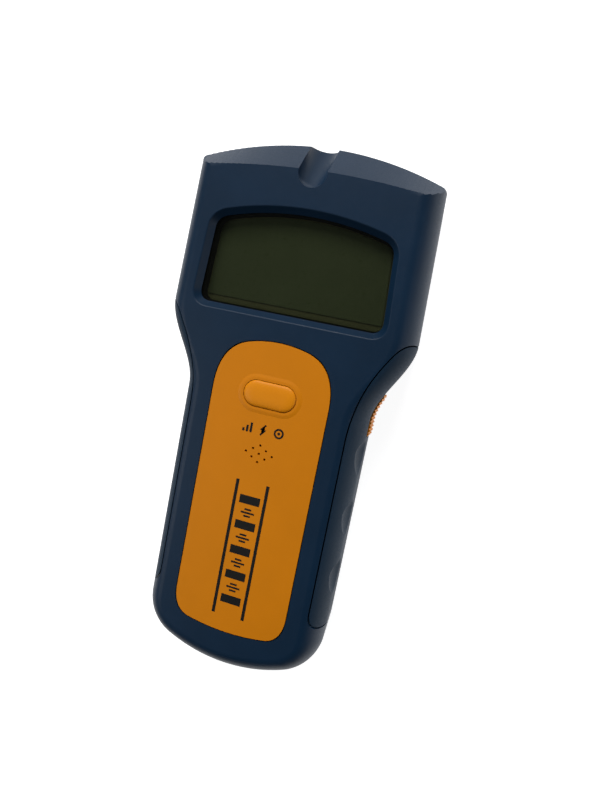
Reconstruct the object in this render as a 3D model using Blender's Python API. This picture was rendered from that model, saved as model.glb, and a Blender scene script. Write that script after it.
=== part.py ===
"""A handheld stud finder with a display, two buttons and a hinged battery door, lying on its back.

X runs across the tool, +Y points at its head, +Z out of its display. The back face lies on Z = 0.
"""

import math

import bmesh
import bpy
from mathutils import Matrix, Vector

MM = 0.001

# Overall form
LENGTH = 164 * MM
HEAD_WIDTH = 78 * MM
HANDLE_WIDTH = 58.8 * MM
THICKNESS = 31 * MM
HEAD_LENGTH = 51.8 * MM  # from the head's end to the corners above the waist
WAIST_LENGTH = 25.2 * MM
HEAD_TAPER = 1.7 * MM  # the head is this much narrower, on each side, at its end
HEAD_ARC_RADIUS = 105 * MM
HEAD_CORNER_RADIUS = 1.3 * MM
TAIL_ARC_RADIUS = 52 * MM
TAIL_CORNER_RADIUS = 15 * MM
EDGE_RUN = 6.5 * MM  # how far the front's rounded edge reaches inwards
EDGE_DROP = 10 * MM  # and how far it reaches down the side
BACK_EDGE = 2 * MM
SIDE_DRAFT = 0.1  # narrowing of each side, per height below the widest level
END_BEVEL_RUN = 8.6 * MM
END_BEVEL_DROP = 8 * MM
CREASE_RADIUS = 235 * MM  # of the arc where the sloping face begins
BEVEL_REACH = 10 * MM  # how far its cutter goes beyond the end
NOTCH_RADIUS = 4.4 * MM
NOTCH_TILT = math.radians(38)
NOTCH_REACH = 13.6 * MM  # from the head's end to the notch's closed end

# Shells
WALL = 2 * MM
HANDLE_FLOOR = 2.2 * MM
GAP = 0.3 * MM  # between pieces that touch
SPLIT_Z = 13 * MM
GRIP_THICKNESS = 2.2 * MM
GRIP_SEAM_INSET = 4.4 * MM  # from the handle's side to the seam on the front
GRIP_HEAD_CORNER = 6 * MM  # height of the seam's corner at the grip's head end
GRIP_HEAD_LEAN = 0.55  # how far that corner leans outwards, per height
GRIP_EASE_LENGTH = 32 * MM  # of the seam's curve beside the waist
GRIP_EASE_WIDTH = 11.7 * MM
GRIP_EASE_POWER = 2.2
GRIP_BOTTOM_Z = 5 * MM
GRIP_TAIL_INSET = 22 * MM
DIP_COUNT = 3
DIP_PITCH = 19.1 * MM
DIP_FIRST = 88.8 * MM  # from the head's end
DIP_DEPTH = 1.5 * MM
DIP_HALF_LENGTH = 6 * MM
DIP_HALF_HEIGHT = 8 * MM

# Display
WINDOW_TOP_INSET = 19.7 * MM
WINDOW_HEIGHT = 32.6 * MM
WINDOW_SIDE_INSET = 8.8 * MM
WINDOW_TAPER = 1.2 * MM
WINDOW_ARC_RADIUS = 90 * MM
WINDOW_CORNER = 5 * MM
RIM_RUN = 1.6 * MM
LENS_THICKNESS = 1.2 * MM
LENS_LAP = 1.6 * MM
LCD_THICKNESS = 2.2 * MM
LCD_DEPTH = 5.6 * MM  # from the front face to the liquid crystal panel
FRAME_WALL = 1.2 * MM
CONTACT_STRIP_WIDTH = 2 * MM

# Front panel and its button
FASCIA_SIDE_INSET = 11 * MM
FASCIA_TOP_INSET = 7.1 * MM  # below the head's corners
FASCIA_TAIL_INSET = 13.4 * MM
FASCIA_THICKNESS = 1.3 * MM
FASCIA_CORNER = 13 * MM
FASCIA_TAIL_CORNER = 8 * MM
FASCIA_SAG = 1.2 * MM  # rise of the arcs at its two ends
SELECT_LENGTH = 16.5 * MM
SELECT_WIDTH = 7.9 * MM
SELECT_DROP = 16 * MM  # from the panel's top edge
SELECT_HEIGHT = 0.9 * MM  # above the panel
SELECT_FLANGE = 1.5 * MM
SELECT_FLANGE_THICKNESS = 1.1 * MM
SELECT_TRAVEL = 0.6 * MM
SOUND_HOLE_RADIUS = 0.4 * MM
SOUND_HOLE_PITCH = 2.1 * MM
SOUND_HOLE_ROW = 1.3 * MM
SOUND_DROP = 33.9 * MM
SOUND_WELL_RADIUS = 5 * MM

# Side button
SIDE_DROP = 23.3 * MM  # its middle, below the head's corners
SIDE_LENGTH = 13.3 * MM
SIDE_HEIGHT = 5.6 * MM
SIDE_DEPTH = 14 * MM  # from the front face down to its middle
SIDE_PROUD = 0.9 * MM
SIDE_RIBS = 7
SIDE_RIB_DEPTH = 0.45 * MM
SIDE_FLANGE = 1.2 * MM
SIDE_TRAVEL = 0.7 * MM

# Circuit
BOARD_THICKNESS = 1.6 * MM
BOARD_EDGE_GAP = 1.6 * MM
SENSOR_BOARD_THICKNESS = 1.2 * MM
SENSOR_BOARD_Z = 4 * MM
SENSOR_BOARD_EDGE_GAP = 3.8 * MM
SENSOR_PLATE_THICKNESS = 0.4 * MM
SENSOR_PLATE_GAP = 2 * MM
SWITCH_SIZE = 6.2 * MM
SWITCH_HEIGHT = 3.4 * MM
PLUNGER_RADIUS = 1.7 * MM
PLUNGER_PROUD = 1 * MM
COIL_RADIUS = 12.5 * MM
COIL_CORE_RADIUS = 8.5 * MM
COIL_HEIGHT = 7 * MM
BUZZER_RADIUS = 5 * MM
BUZZER_HEIGHT = 4.2 * MM

# Battery, its bay and door
BATTERY_WIDTH = 26.2 * MM
BATTERY_LENGTH = 46.2 * MM
BATTERY_HEIGHT = 17.2 * MM
TERMINAL_SPACING = 12.9 * MM
TERMINAL_RADIUS = 2.9 * MM
TERMINAL_HEIGHT = 2.2 * MM
SNAP_THICKNESS = 4.2 * MM
BAY_SIDE_GAP = 0.9 * MM
BAY_WALL = 2.2 * MM
BAY_TAIL_INSET = 8.6 * MM
BAY_TAIL_ROOM = 2.6 * MM  # free for the door's lugs to swing
BAY_CEILING = 1.5 * MM
DOOR_THICKNESS = 1.7 * MM
DOOR_RECESS = 0.2 * MM
DOOR_LAP = 1.3 * MM  # how far the door reaches under the bay's walls
DOOR_LUG_WIDTH = 5 * MM
DOOR_LUG_REACH = 1.8 * MM
DOOR_PIVOT_HEIGHT = 0.15 * MM
LUG_ROOM_HEIGHT = 3.4 * MM
PAD_THICKNESS = 0.7 * MM
LATCH_WIDTH = 9 * MM
LATCH_HEIGHT = 5 * MM
LATCH_THICKNESS = 1.1 * MM
SNAP_ROOM = 1.5 * MM  # beyond the battery's snap
LEAD_HOLE_HALF = 5 * MM

# Fasteners and leads
SCREW_RADIUS = 1.2 * MM
SCREW_HEAD_RADIUS = 2.4 * MM
SCREW_HEAD_HEIGHT = 1.6 * MM
BOSS_RADIUS = 2.8 * MM
CASE_SCREW_LENGTH = 11 * MM
BOARD_SCREW_RADIUS = 0.9 * MM
BOARD_SCREW_HEAD_RADIUS = 1.7 * MM
BOARD_SCREW_LENGTH = 5 * MM
BOARD_BOSS_RADIUS = 2 * MM
SCREW_HEAD_INSET = 8.5 * MM  # from the head's side to the screws
SCREW_HANDLE_INSET = 10.1 * MM
SCREW_TAIL_INSET = 15 * MM
LEAD_RADIUS = 0.65 * MM

# Places that follow from the sizes above
END_Y = LENGTH / 2
HEAD_CORNER_Y = END_Y - HEAD_LENGTH
WAIST_END_Y = HEAD_CORNER_Y - WAIST_LENGTH
WIDEST_Z = THICKNESS - EDGE_DROP
SHELL_CORE = GRIP_THICKNESS + GAP + WALL  # from the handle's skin to the inside of its core
INNER_TOP_Z = THICKNESS - SHELL_CORE
SIDE_SEAT = SHELL_CORE + GAP + 0.5 * MM  # from the skin to the side button's flange
HEAD_TOP_Z = THICKNESS - WALL
WINDOW_TOP_Y = END_Y - WINDOW_TOP_INSET
WINDOW_BOTTOM_Y = WINDOW_TOP_Y - WINDOW_HEIGHT
WINDOW_HALF = HEAD_WIDTH / 2 - WINDOW_SIDE_INSET
LENS_TOP_Z = HEAD_TOP_Z - GAP
FASCIA_HALF = HANDLE_WIDTH / 2 - FASCIA_SIDE_INSET
FASCIA_TOP_Y = HEAD_CORNER_Y - FASCIA_TOP_INSET
FASCIA_TAIL_Y = -END_Y + FASCIA_TAIL_INSET
SELECT_Y = FASCIA_TOP_Y - SELECT_DROP
SOUND_Y = FASCIA_TOP_Y - SOUND_DROP
SIDE_Y = HEAD_CORNER_Y - SIDE_DROP
SIDE_Z = THICKNESS - SIDE_DEPTH
BOARD_DEPTH = SHELL_CORE + SELECT_FLANGE_THICKNESS + PLUNGER_PROUD + SWITCH_HEIGHT + 3 * GAP
BOARD_TOP_Z = THICKNESS - BOARD_DEPTH
BOARD_Z = BOARD_TOP_Z - BOARD_THICKNESS
LCD_TOP_Z = THICKNESS - LCD_DEPTH
LCD_Z = LCD_TOP_Z - LCD_THICKNESS
DOOR_TOP_Z = DOOR_RECESS + DOOR_THICKNESS
PAD_Z = DOOR_TOP_Z + GAP
BATTERY_Z = PAD_Z + PAD_THICKNESS + GAP
BATTERY_TOP_Z = BATTERY_Z + BATTERY_HEIGHT
BATTERY_MIDDLE_Z = BATTERY_Z + BATTERY_HEIGHT / 2
BAY_HALF = BATTERY_WIDTH / 2 + BAY_SIDE_GAP
BAY_TAIL_Y = -END_Y + BAY_TAIL_INSET
BATTERY_TAIL_Y = BAY_TAIL_Y + BAY_TAIL_ROOM
BATTERY_HEAD_Y = BATTERY_TAIL_Y + BATTERY_LENGTH
SNAP_HEAD_Y = BATTERY_HEAD_Y + GAP + SNAP_THICKNESS
BAY_HEAD_Y = SNAP_HEAD_Y + SNAP_ROOM
BAY_TOP_Z = BATTERY_TOP_Z + GAP
DOOR_HALF = BAY_HALF + DOOR_LAP
DOOR_TAIL_Y = BAY_TAIL_Y + GAP
DOOR_HEAD_Y = BAY_HEAD_Y - GAP
PIVOT_Z = DOOR_RECESS + DOOR_PIVOT_HEIGHT
SCREW_HEAD_X = HEAD_WIDTH / 2 - SCREW_HEAD_INSET
BOSS_INSET = WALL + GAP + BOSS_RADIUS + SIDE_DRAFT * WIDEST_Z  # from the head's end to a boss's middle
SCREW_HEAD_Y = END_Y - HEAD_ARC_RADIUS + math.sqrt(HEAD_ARC_RADIUS**2 - SCREW_HEAD_X**2) - BOSS_INSET
BOARD_HEAD_INSET = END_Y - SCREW_HEAD_Y + BOSS_RADIUS + 2 * GAP
CASE_SCREWS = [
    (SCREW_HEAD_X, SCREW_HEAD_Y),
    (HANDLE_WIDTH / 2 - SCREW_HANDLE_INSET, -END_Y + SCREW_TAIL_INSET),
]
BOARD_SCREWS = [
    (HEAD_WIDTH / 2 - 19 * MM, END_Y - BOARD_HEAD_INSET - 3.3 * MM),
    (HANDLE_WIDTH / 2 - 13 * MM, BAY_HEAD_Y + BAY_WALL + 6 * MM),
]


def clear_scene():
    for found in list(bpy.data.objects):
        bpy.data.objects.remove(found, do_unlink=True)


def plastic(name, colour, roughness=0.5, metallic=0.0):
    """A material of one colour, made once for each name."""
    made = bpy.data.materials.get(name)
    if made is None:
        made = bpy.data.materials.new(name)
        made.use_nodes = True
        shader = made.node_tree.nodes["Principled BSDF"]
        shader.inputs["Base Color"].default_value = (*colour, 1.0)
        shader.inputs["Roughness"].default_value = roughness
        shader.inputs["Metallic"].default_value = metallic
        made.diffuse_color = (*colour, 1.0)
    return made


NAVY = ("navy_shell", (0.012, 0.035, 0.09), 0.45)
GRIP_BLUE = ("grip_rubber", (0.04, 0.065, 0.11), 0.7)
AMBER = ("amber_panel", (0.62, 0.25, 0.005), 0.45)
AMBER_LIGHT = ("amber_button", (0.75, 0.3, 0.01), 0.4)
CLEAR = ("clear_lens", (0.12, 0.13, 0.1), 0.08)
LCD_GREEN = ("lcd_glass", (0.06, 0.07, 0.035), 0.2)
BLACK = ("black_plastic", (0.012, 0.012, 0.013), 0.5)
BOARD_GREEN = ("circuit_board", (0.01, 0.12, 0.04), 0.4)
COPPER = ("copper", (0.7, 0.28, 0.13), 0.3, 1.0)
STEEL = ("steel", (0.6, 0.6, 0.62), 0.3, 1.0)
BATTERY_CASE = ("battery_case", (0.03, 0.03, 0.035), 0.35)
FOAM = ("foam", (0.05, 0.05, 0.05), 0.95)
SLEEVE = ("capacitor_sleeve", (0.02, 0.03, 0.1), 0.35)
RED = ("red_sleeve", (0.5, 0.01, 0.01), 0.5)
WHITE = ("white_plastic", (0.75, 0.74, 0.7), 0.5)


def from_bmesh(name, bm, finish):
    """An object whose faces all point outwards, made from a bmesh."""
    bmesh.ops.recalc_face_normals(bm, faces=bm.faces)
    mesh = bpy.data.meshes.new(name)
    bm.to_mesh(mesh)
    bm.free()
    made = bpy.data.objects.new(name, mesh)
    bpy.context.scene.collection.objects.link(made)
    if finish:
        mesh.materials.append(plastic(*finish))
    return made


def smooth(made, degrees=35):
    made.data.shade_smooth()
    made.data.set_sharp_from_angle(angle=math.radians(degrees))
    return made


def loft(name, rings, finish=None):
    """A closed skin over rings of equal counts, each a list of 3-D points."""
    bm = bmesh.new()
    rows = [[bm.verts.new(point) for point in ring] for ring in rings]
    for low, high in zip(rows, rows[1:]):
        for index, corner in enumerate(low):
            after = (index + 1) % len(low)
            bm.faces.new((corner, low[after], high[after], high[index]))
    bm.faces.new(rows[0][::-1])
    bm.faces.new(rows[-1])
    return from_bmesh(name, bm, finish)


def prism(name, outline, low, high, finish=None):
    """An upright prism over an outline of (x, y) points."""
    rings = [[(x, y, z) for x, y in outline] for z in (low, high)]
    return loft(name, rings, finish)


def box(name, low, high, finish=None, bevel=0.0):
    outline = [(low[0], low[1]), (high[0], low[1]), (high[0], high[1]), (low[0], high[1])]
    made = prism(name, outline, low[2], high[2], finish)
    if bevel:
        soften(made, bevel)
    return made


def turned(name, profile, place, finish=None, direction=(0, 0, 1), sides=24):
    """A round solid: profile lists (radius, height) from its bottom to its top, on the axis at both ends."""
    rings = [
        [
            (r * math.cos(turn), r * math.sin(turn), h)
            for turn in (2 * math.pi * step / sides for step in range(sides))
        ]
        for r, h in profile
    ]
    made = loft(name, rings, finish)
    turn = Vector((0, 0, 1)).rotation_difference(Vector(direction)).to_matrix().to_4x4()
    made.data.transform(Matrix.Translation(Vector(place)) @ turn)
    return smooth(made)


def soften(made, width, segments=2):
    bevel = made.modifiers.new("soft_edges", "BEVEL")
    bevel.width = width
    bevel.segments = segments
    bevel.limit_method = "ANGLE"
    bevel.angle_limit = math.radians(40)
    return made


def settle(made):
    """Applies an object's modifiers."""
    bpy.context.view_layer.update()
    seen = made.evaluated_get(bpy.context.evaluated_depsgraph_get())
    mesh = bpy.data.meshes.new_from_object(seen)
    old = made.data
    made.modifiers.clear()
    made.data = mesh
    mesh.name = made.name
    bpy.data.meshes.remove(old)
    return made


def combine(made, other, operation):
    step = made.modifiers.new(operation.lower(), "BOOLEAN")
    step.operation = operation
    step.object = other
    settle(made)
    bpy.data.objects.remove(other, do_unlink=True)
    return made


def cut(made, *cutters):
    for cutter in cutters:
        combine(made, cutter, "DIFFERENCE")
    return made


def keep(made, guide):
    return combine(made, guide, "INTERSECT")


def join(made, *others):
    for other in others:
        combine(made, other, "UNION")
    return made


def arc_points(centre, radius, start, end, count):
    """Points on an arc, its angles in radians, both ends among them."""
    steps = [start + (end - start) * step / (count - 1) for step in range(count)]
    return [(centre[0] + radius * math.cos(a), centre[1] + radius * math.sin(a)) for a in steps]


def blend_corner(before, corner, after, count):
    """A quadratic curve from one point to another that bends at a corner."""
    points = []
    for step in range(count):
        t = step / (count - 1)
        weights = ((1 - t) ** 2, 2 * t * (1 - t), t * t)
        points.append(tuple(sum(w * p[k] for w, p in zip(weights, (before, corner, after))) for k in (0, 1)))
    return points


def both_sides(half):
    """The whole outline from its right half, which runs from the middle of one end to the other."""
    left = [(-x, y) for x, y in reversed(half) if x > 1e-6]
    return half + left


def side_x(y, inset=0.0):
    """Half the tool's width at y, between the head's end and the tail's corners."""
    head_half = HEAD_WIDTH / 2 - inset
    handle_half = HANDLE_WIDTH / 2 - inset
    if y >= HEAD_CORNER_Y:
        return head_half - HEAD_TAPER * (y - HEAD_CORNER_Y) / HEAD_LENGTH
    share = min((HEAD_CORNER_Y - y) / WAIST_LENGTH, 1.0)
    eased = 3 * share**2 - 2 * share**3
    return head_half + (handle_half - head_half) * eased


def body_outline(inset):
    """The tool's outline seen from the front, moved inwards by inset."""
    arc_centre = END_Y - HEAD_ARC_RADIUS
    arc_radius = HEAD_ARC_RADIUS - inset
    corner_y = END_Y
    for _ in range(6):
        corner_x = side_x(corner_y, inset)
        corner_y = arc_centre + math.sqrt(arc_radius**2 - corner_x**2)
    radius = max(HEAD_CORNER_RADIUS - inset / 4, 0.4 * MM)
    last = math.asin((corner_x - radius) / arc_radius)
    half = arc_points((0, arc_centre), arc_radius, math.pi / 2, math.pi / 2 - last, 9)
    below = (side_x(corner_y - radius, inset), corner_y - radius)
    half += blend_corner(half[-1], (corner_x, corner_y), below, 5)[1:]
    middle = (below[1] + HEAD_CORNER_Y) / 2
    half.append((side_x(middle, inset), middle))
    waist = [HEAD_CORNER_Y - WAIST_LENGTH * step / 10 for step in range(11)]
    half += [(side_x(y, inset), y) for y in waist]
    corner = (HANDLE_WIDTH / 2 - TAIL_CORNER_RADIUS, 0)
    tail_centre = -END_Y + TAIL_ARC_RADIUS
    reach = TAIL_ARC_RADIUS - TAIL_CORNER_RADIUS
    corner = (corner[0], tail_centre - math.sqrt(reach**2 - corner[0] ** 2))
    lean = math.asin(corner[0] / reach)
    half += arc_points(corner, TAIL_CORNER_RADIUS - inset, 0, lean - math.pi / 2, 7)
    tail = arc_points((0, tail_centre), TAIL_ARC_RADIUS - inset, lean - math.pi / 2, -math.pi / 2, 6)
    half += tail[1:-1] + [(0.0, -END_Y + inset)]
    return both_sides(half)


def body_solid(name, inset=0.0, finish=None):
    """The whole tool's form, moved inwards by inset on every side."""
    rings = []
    for step in range(4):
        turn = math.radians(30 * step)
        z = inset + BACK_EDGE * (1 - math.cos(turn))
        rings.append((BACK_EDGE * (1 - math.sin(turn)) + SIDE_DRAFT * (WIDEST_Z - z), z))
    for step in range(7):
        turn = math.radians(90 - 15 * step)
        rings.append((EDGE_RUN * (1 - math.sin(turn)), THICKNESS - inset - EDGE_DROP * (1 - math.cos(turn))))
    return loft(name, [[(x, y, z) for x, y in body_outline(inset + run)] for run, z in rings], finish)


def end_bevel(name, inset=0.0):
    """A cutter for the sloping face across the head's end, and for what the inside keeps clear of it."""
    far = BEVEL_REACH
    rings = []
    for step in range(-8, 9):
        x = HEAD_WIDTH * 0.55 * step / 8
        end_y = END_Y - HEAD_ARC_RADIUS + math.sqrt(HEAD_ARC_RADIUS**2 - x**2)
        crease_y = END_Y - END_BEVEL_RUN - CREASE_RADIUS + math.sqrt(CREASE_RADIUS**2 - x**2)
        slope = END_BEVEL_DROP / (end_y - crease_y)
        low = THICKNESS - END_BEVEL_DROP - inset * math.hypot(1, slope)
        ring = [(x, end_y - far, low + slope * far), (x, end_y + far, low - slope * far)]
        rings.append(ring + [(x, end_y + far, THICKNESS + 2 * far), (x, end_y - far, THICKNESS + 2 * far)])
    return loft(name, rings)


def notch(name, grow=0.0):
    """The marking groove over the head's end: a round channel with a ball end."""
    radius = NOTCH_RADIUS + grow
    ball_y = END_Y - NOTCH_REACH + NOTCH_RADIUS
    turns = [math.radians(9 * k) for k in range(11)]
    profile = [(radius * math.sin(turn), -radius * math.cos(turn)) for turn in turns]
    profile[0] = (radius * 0.02, -radius)
    profile.append((radius, 25 * MM))
    direction = (0, math.cos(NOTCH_TILT), -math.sin(NOTCH_TILT))
    return turned(name, profile, (0, ball_y, THICKNESS), None, direction, 26)


def tool_solid(name, finish=None):
    made = body_solid(name, 0.0, finish)
    return cut(made, end_bevel("bevel_cutter"), notch("notch_cutter"))


def seam_x(y):
    """Where a grip's seam runs: straight beside the handle, and in a curve that opens towards the head."""
    share = min((HEAD_CORNER_Y - y) / GRIP_EASE_LENGTH, 1.0)
    return HANDLE_WIDTH / 2 - GRIP_SEAM_INSET + GRIP_EASE_WIDTH * (1 - share) ** GRIP_EASE_POWER


def grip_outline(side, grow=0.0):
    """The grip's region seen from the front, from its seam to well outside the tool."""
    seam = HANDLE_WIDTH / 2 - GRIP_SEAM_INSET - grow
    top = HEAD_CORNER_Y - GAP + grow
    tail = -END_Y + GRIP_TAIL_INSET - grow
    out = HEAD_WIDTH / 2 + 6 * MM
    turn = HEAD_CORNER_Y - GRIP_HEAD_CORNER
    after = (seam_x(turn) - grow, turn)
    bend_x = after[0] + GRIP_HEAD_LEAN * (top - turn)
    points = [(out, top)] + blend_corner((bend_x + 3 * MM, top), (bend_x, top), after, 6)
    low = HEAD_CORNER_Y - GRIP_EASE_LENGTH
    for step in range(1, 10):
        y = turn + (low - turn) * step / 9
        points.append((seam_x(y) - grow, y))
    points += blend_corner((seam, tail + 5 * MM), (seam, tail), (seam + 5 * MM, tail), 5)
    points.append((out, tail))
    return [(side * x, y) for x, y in points]


def grip_region(name, side, grow=0.0):
    return prism(name, grip_outline(side, grow), GRIP_BOTTOM_Z - grow, THICKNESS + 5 * MM)


def grip_pocket(name, side):
    """What a grip takes out of the shells: its region, outside the core."""
    made = grip_region(name, side, GAP)
    return cut(made, body_solid("core_guide", GRIP_THICKNESS + GAP))


def dips(side):
    """Cutters for the finger dips along a grip."""
    made = []
    for index in range(DIP_COUNT):
        y = END_Y - DIP_FIRST - DIP_PITCH * index
        profile = [(math.sin(a), -math.cos(a)) for a in (math.radians(15 * k) for k in range(13))]
        profile[0] = (0.02, -1)
        profile[-1] = (0.02, 1)
        ball = turned("dip_cutter", profile, (0, 0, 0), None, (0, 0, 1), 24)
        size = (2.6 * DIP_DEPTH, DIP_HALF_LENGTH, DIP_HALF_HEIGHT)
        ball.data.transform(Matrix.Diagonal((*size, 1)))
        x = side * (side_x(y) + size[0] - DIP_DEPTH)
        ball.data.transform(Matrix.Translation((x, y, SIDE_Z - 1 * MM)))
        made.append(ball)
    return made


def grip(name, side):
    made = tool_solid(name, GRIP_BLUE)
    keep(made, grip_region("grip_guide", side))
    cut(made, body_solid("core_guide", GRIP_THICKNESS))
    cut(made, *dips(side))
    if side > 0:
        cut(made, side_slot("slot_cutter"))
    return smooth(made, 30)


def side_slot(name):
    """The hole that the side button moves in."""
    half = SIDE_LENGTH / 2 + GAP
    low = SIDE_Z - SIDE_HEIGHT / 2 - GAP
    high = SIDE_Z + SIDE_HEIGHT / 2 + GAP
    inner = side_x(SIDE_Y - half) - SHELL_CORE - 2 * MM
    return box(name, (inner, SIDE_Y - half, low), (inner + 20 * MM, SIDE_Y + half, high))


def rooms():
    """Cutters for the room inside the shells: the head's, the handle's core and the handle's floor."""
    join_y = HEAD_CORNER_Y + 1 * MM
    far = LENGTH
    head = body_solid("head_room", WALL)
    half = WINDOW_HALF + LENS_LAP
    foot = min(WINDOW_BOTTOM_Y, join_y) - WALL
    guide = [(far, far), (-far, far), (-far, join_y), (-half, join_y)]
    guide += [(-half, foot), (half, foot), (half, join_y)]
    keep(head, prism("head_guide", guide + [(far, join_y)], -far, far))
    handle = body_solid("handle_room", SHELL_CORE)
    keep(handle, box("handle_guide", (-far, -far, -far), (far, join_y + 0.3 * MM, far)))
    deepen = body_solid("handle_floor", SHELL_CORE)
    deepen.data.transform(Matrix.Translation((0, 0, HANDLE_FLOOR - SHELL_CORE)))
    keep(deepen, box("floor_guide", (-far, -far, -far), (far, join_y + 0.2 * MM, SPLIT_Z - GRIP_BOTTOM_Z)))
    cut(head, end_bevel("inner_bevel", WALL), notch("inner_notch", WALL))
    return head, handle, deepen


def slab(name, low, high):
    return box(name, (-HEAD_WIDTH, -LENGTH, low), (HEAD_WIDTH, LENGTH, high))


def window_outline(inset):
    """The display window's outline: straight below, slightly arched above."""
    bottom = WINDOW_BOTTOM_Y + inset
    low_half = WINDOW_HALF - inset
    high_half = low_half - WINDOW_TAPER
    centre = WINDOW_TOP_Y - WINDOW_ARC_RADIUS
    radius = WINDOW_ARC_RADIUS - inset
    corner_y = centre + math.sqrt(radius**2 - high_half**2)
    bend = max(WINDOW_CORNER - inset, 1 * MM)
    last = math.asin((high_half - bend) / radius)
    half = arc_points((0, centre), radius, math.pi / 2, math.pi / 2 - last, 6)
    half += blend_corner(half[-1], (high_half, corner_y), (high_half + 0.1 * MM, corner_y - bend), 6)[1:]
    half += blend_corner((low_half, bottom + bend), (low_half, bottom), (low_half - bend, bottom), 6)
    half.append((0.0, bottom))
    return both_sides(half)


def window_cutter(name):
    rings = [
        (-RIM_RUN, THICKNESS + WALL),
        (0.0, THICKNESS),
        (RIM_RUN, HEAD_TOP_Z),
        (RIM_RUN, HEAD_TOP_Z - WALL),
    ]
    return loft(name, [[(x, y, z) for x, y in window_outline(inset)] for inset, z in rings])


def fascia_outline(grow=0.0):
    """The front panel's outline: parallel sides, and shallow arcs at both ends."""
    half_width = FASCIA_HALF + grow
    half = []
    top = (1, FASCIA_TOP_Y + grow, FASCIA_CORNER)
    tail = (-1, FASCIA_TAIL_Y - grow, FASCIA_TAIL_CORNER)
    for sign, end_y, corner in (top, tail):
        inner = half_width - corner * 0.72
        arc = [(inner * step / 4, end_y - sign * FASCIA_SAG * (step / 4) ** 2) for step in range(5)]
        slope_drop = sign * FASCIA_SAG * (1 + 2 * corner * 0.72 / inner)
        bend = (half_width, end_y - slope_drop)
        turn = blend_corner(arc[-1], bend, (half_width, end_y - slope_drop - sign * corner), 8)[1:]
        half += (arc + turn) if sign > 0 else (arc + turn)[::-1]
    return both_sides(half)


def obround(length, width, centre_y, count=9):
    """A slot's outline that runs across the tool."""
    radius = width / 2
    reach = length / 2 - radius
    right = arc_points((reach, centre_y), radius, -math.pi / 2, math.pi / 2, count)
    left = arc_points((-reach, centre_y), radius, math.pi / 2, 3 * math.pi / 2, count)
    return right + left


def boss(name, place, radius, low, high):
    return turned(name, [(radius, low), (radius, high)], (*place, 0), None, (0, 0, 1), 16)


def mirrored(places):
    return [(side * x, y) for x, y in places for side in (1, -1)]


def case_screw_levels():
    """The face under the screws' heads, and the plane where the two shells' bosses meet."""
    seat = 4.5 * MM
    return seat, seat + SCREW_HEAD_HEIGHT + 2.5 * MM


def front_shell():
    made = tool_solid("front_shell", NAVY)
    keep(made, slab("front_guide", SPLIT_Z + GAP, 2 * THICKNESS))
    for side in (1, -1):
        cut(made, grip_pocket("grip_pocket", side))
    cut(made, *rooms())
    meet = case_screw_levels()[1]
    for place in mirrored(CASE_SCREWS):
        post = boss("case_boss", place, BOSS_RADIUS, meet + GAP, THICKNESS - WALL)
        keep(post, body_solid("boss_guide", WALL / 2))
        cut(post, end_bevel("boss_bevel", WALL / 2))
        join(made, post)
        hole = meet + CASE_SCREW_LENGTH
        cut(made, boss("pilot", place, SCREW_RADIUS + GAP, 0, hole))
    for place in mirrored(BOARD_SCREWS):
        ceiling = HEAD_TOP_Z if place[1] > HEAD_CORNER_Y else INNER_TOP_Z
        post = boss("board_boss", place, BOARD_BOSS_RADIUS, BOARD_TOP_Z + GAP, ceiling + WALL / 2)
        join(made, post)
        cut(made, boss("pilot", place, BOARD_SCREW_RADIUS + GAP, 0, BOARD_TOP_Z + BOARD_SCREW_LENGTH))
    recess = THICKNESS - FASCIA_THICKNESS - GAP
    cut(made, prism("fascia_recess", fascia_outline(GAP), recess, 2 * THICKNESS))
    cut(made, window_cutter("window_cutter"))
    opening = obround(SELECT_LENGTH + 2 * GAP, SELECT_WIDTH + 2 * GAP, SELECT_Y)
    cut(made, prism("select_hole", opening, SPLIT_Z + 5 * MM, 2 * THICKNESS))
    cut(made, boss("sound_well", (0, SOUND_Y), SOUND_WELL_RADIUS, SPLIT_Z + 5 * MM, 2 * THICKNESS))
    cut(made, side_slot("slot_cutter"))
    return smooth(made, 30)


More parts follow.
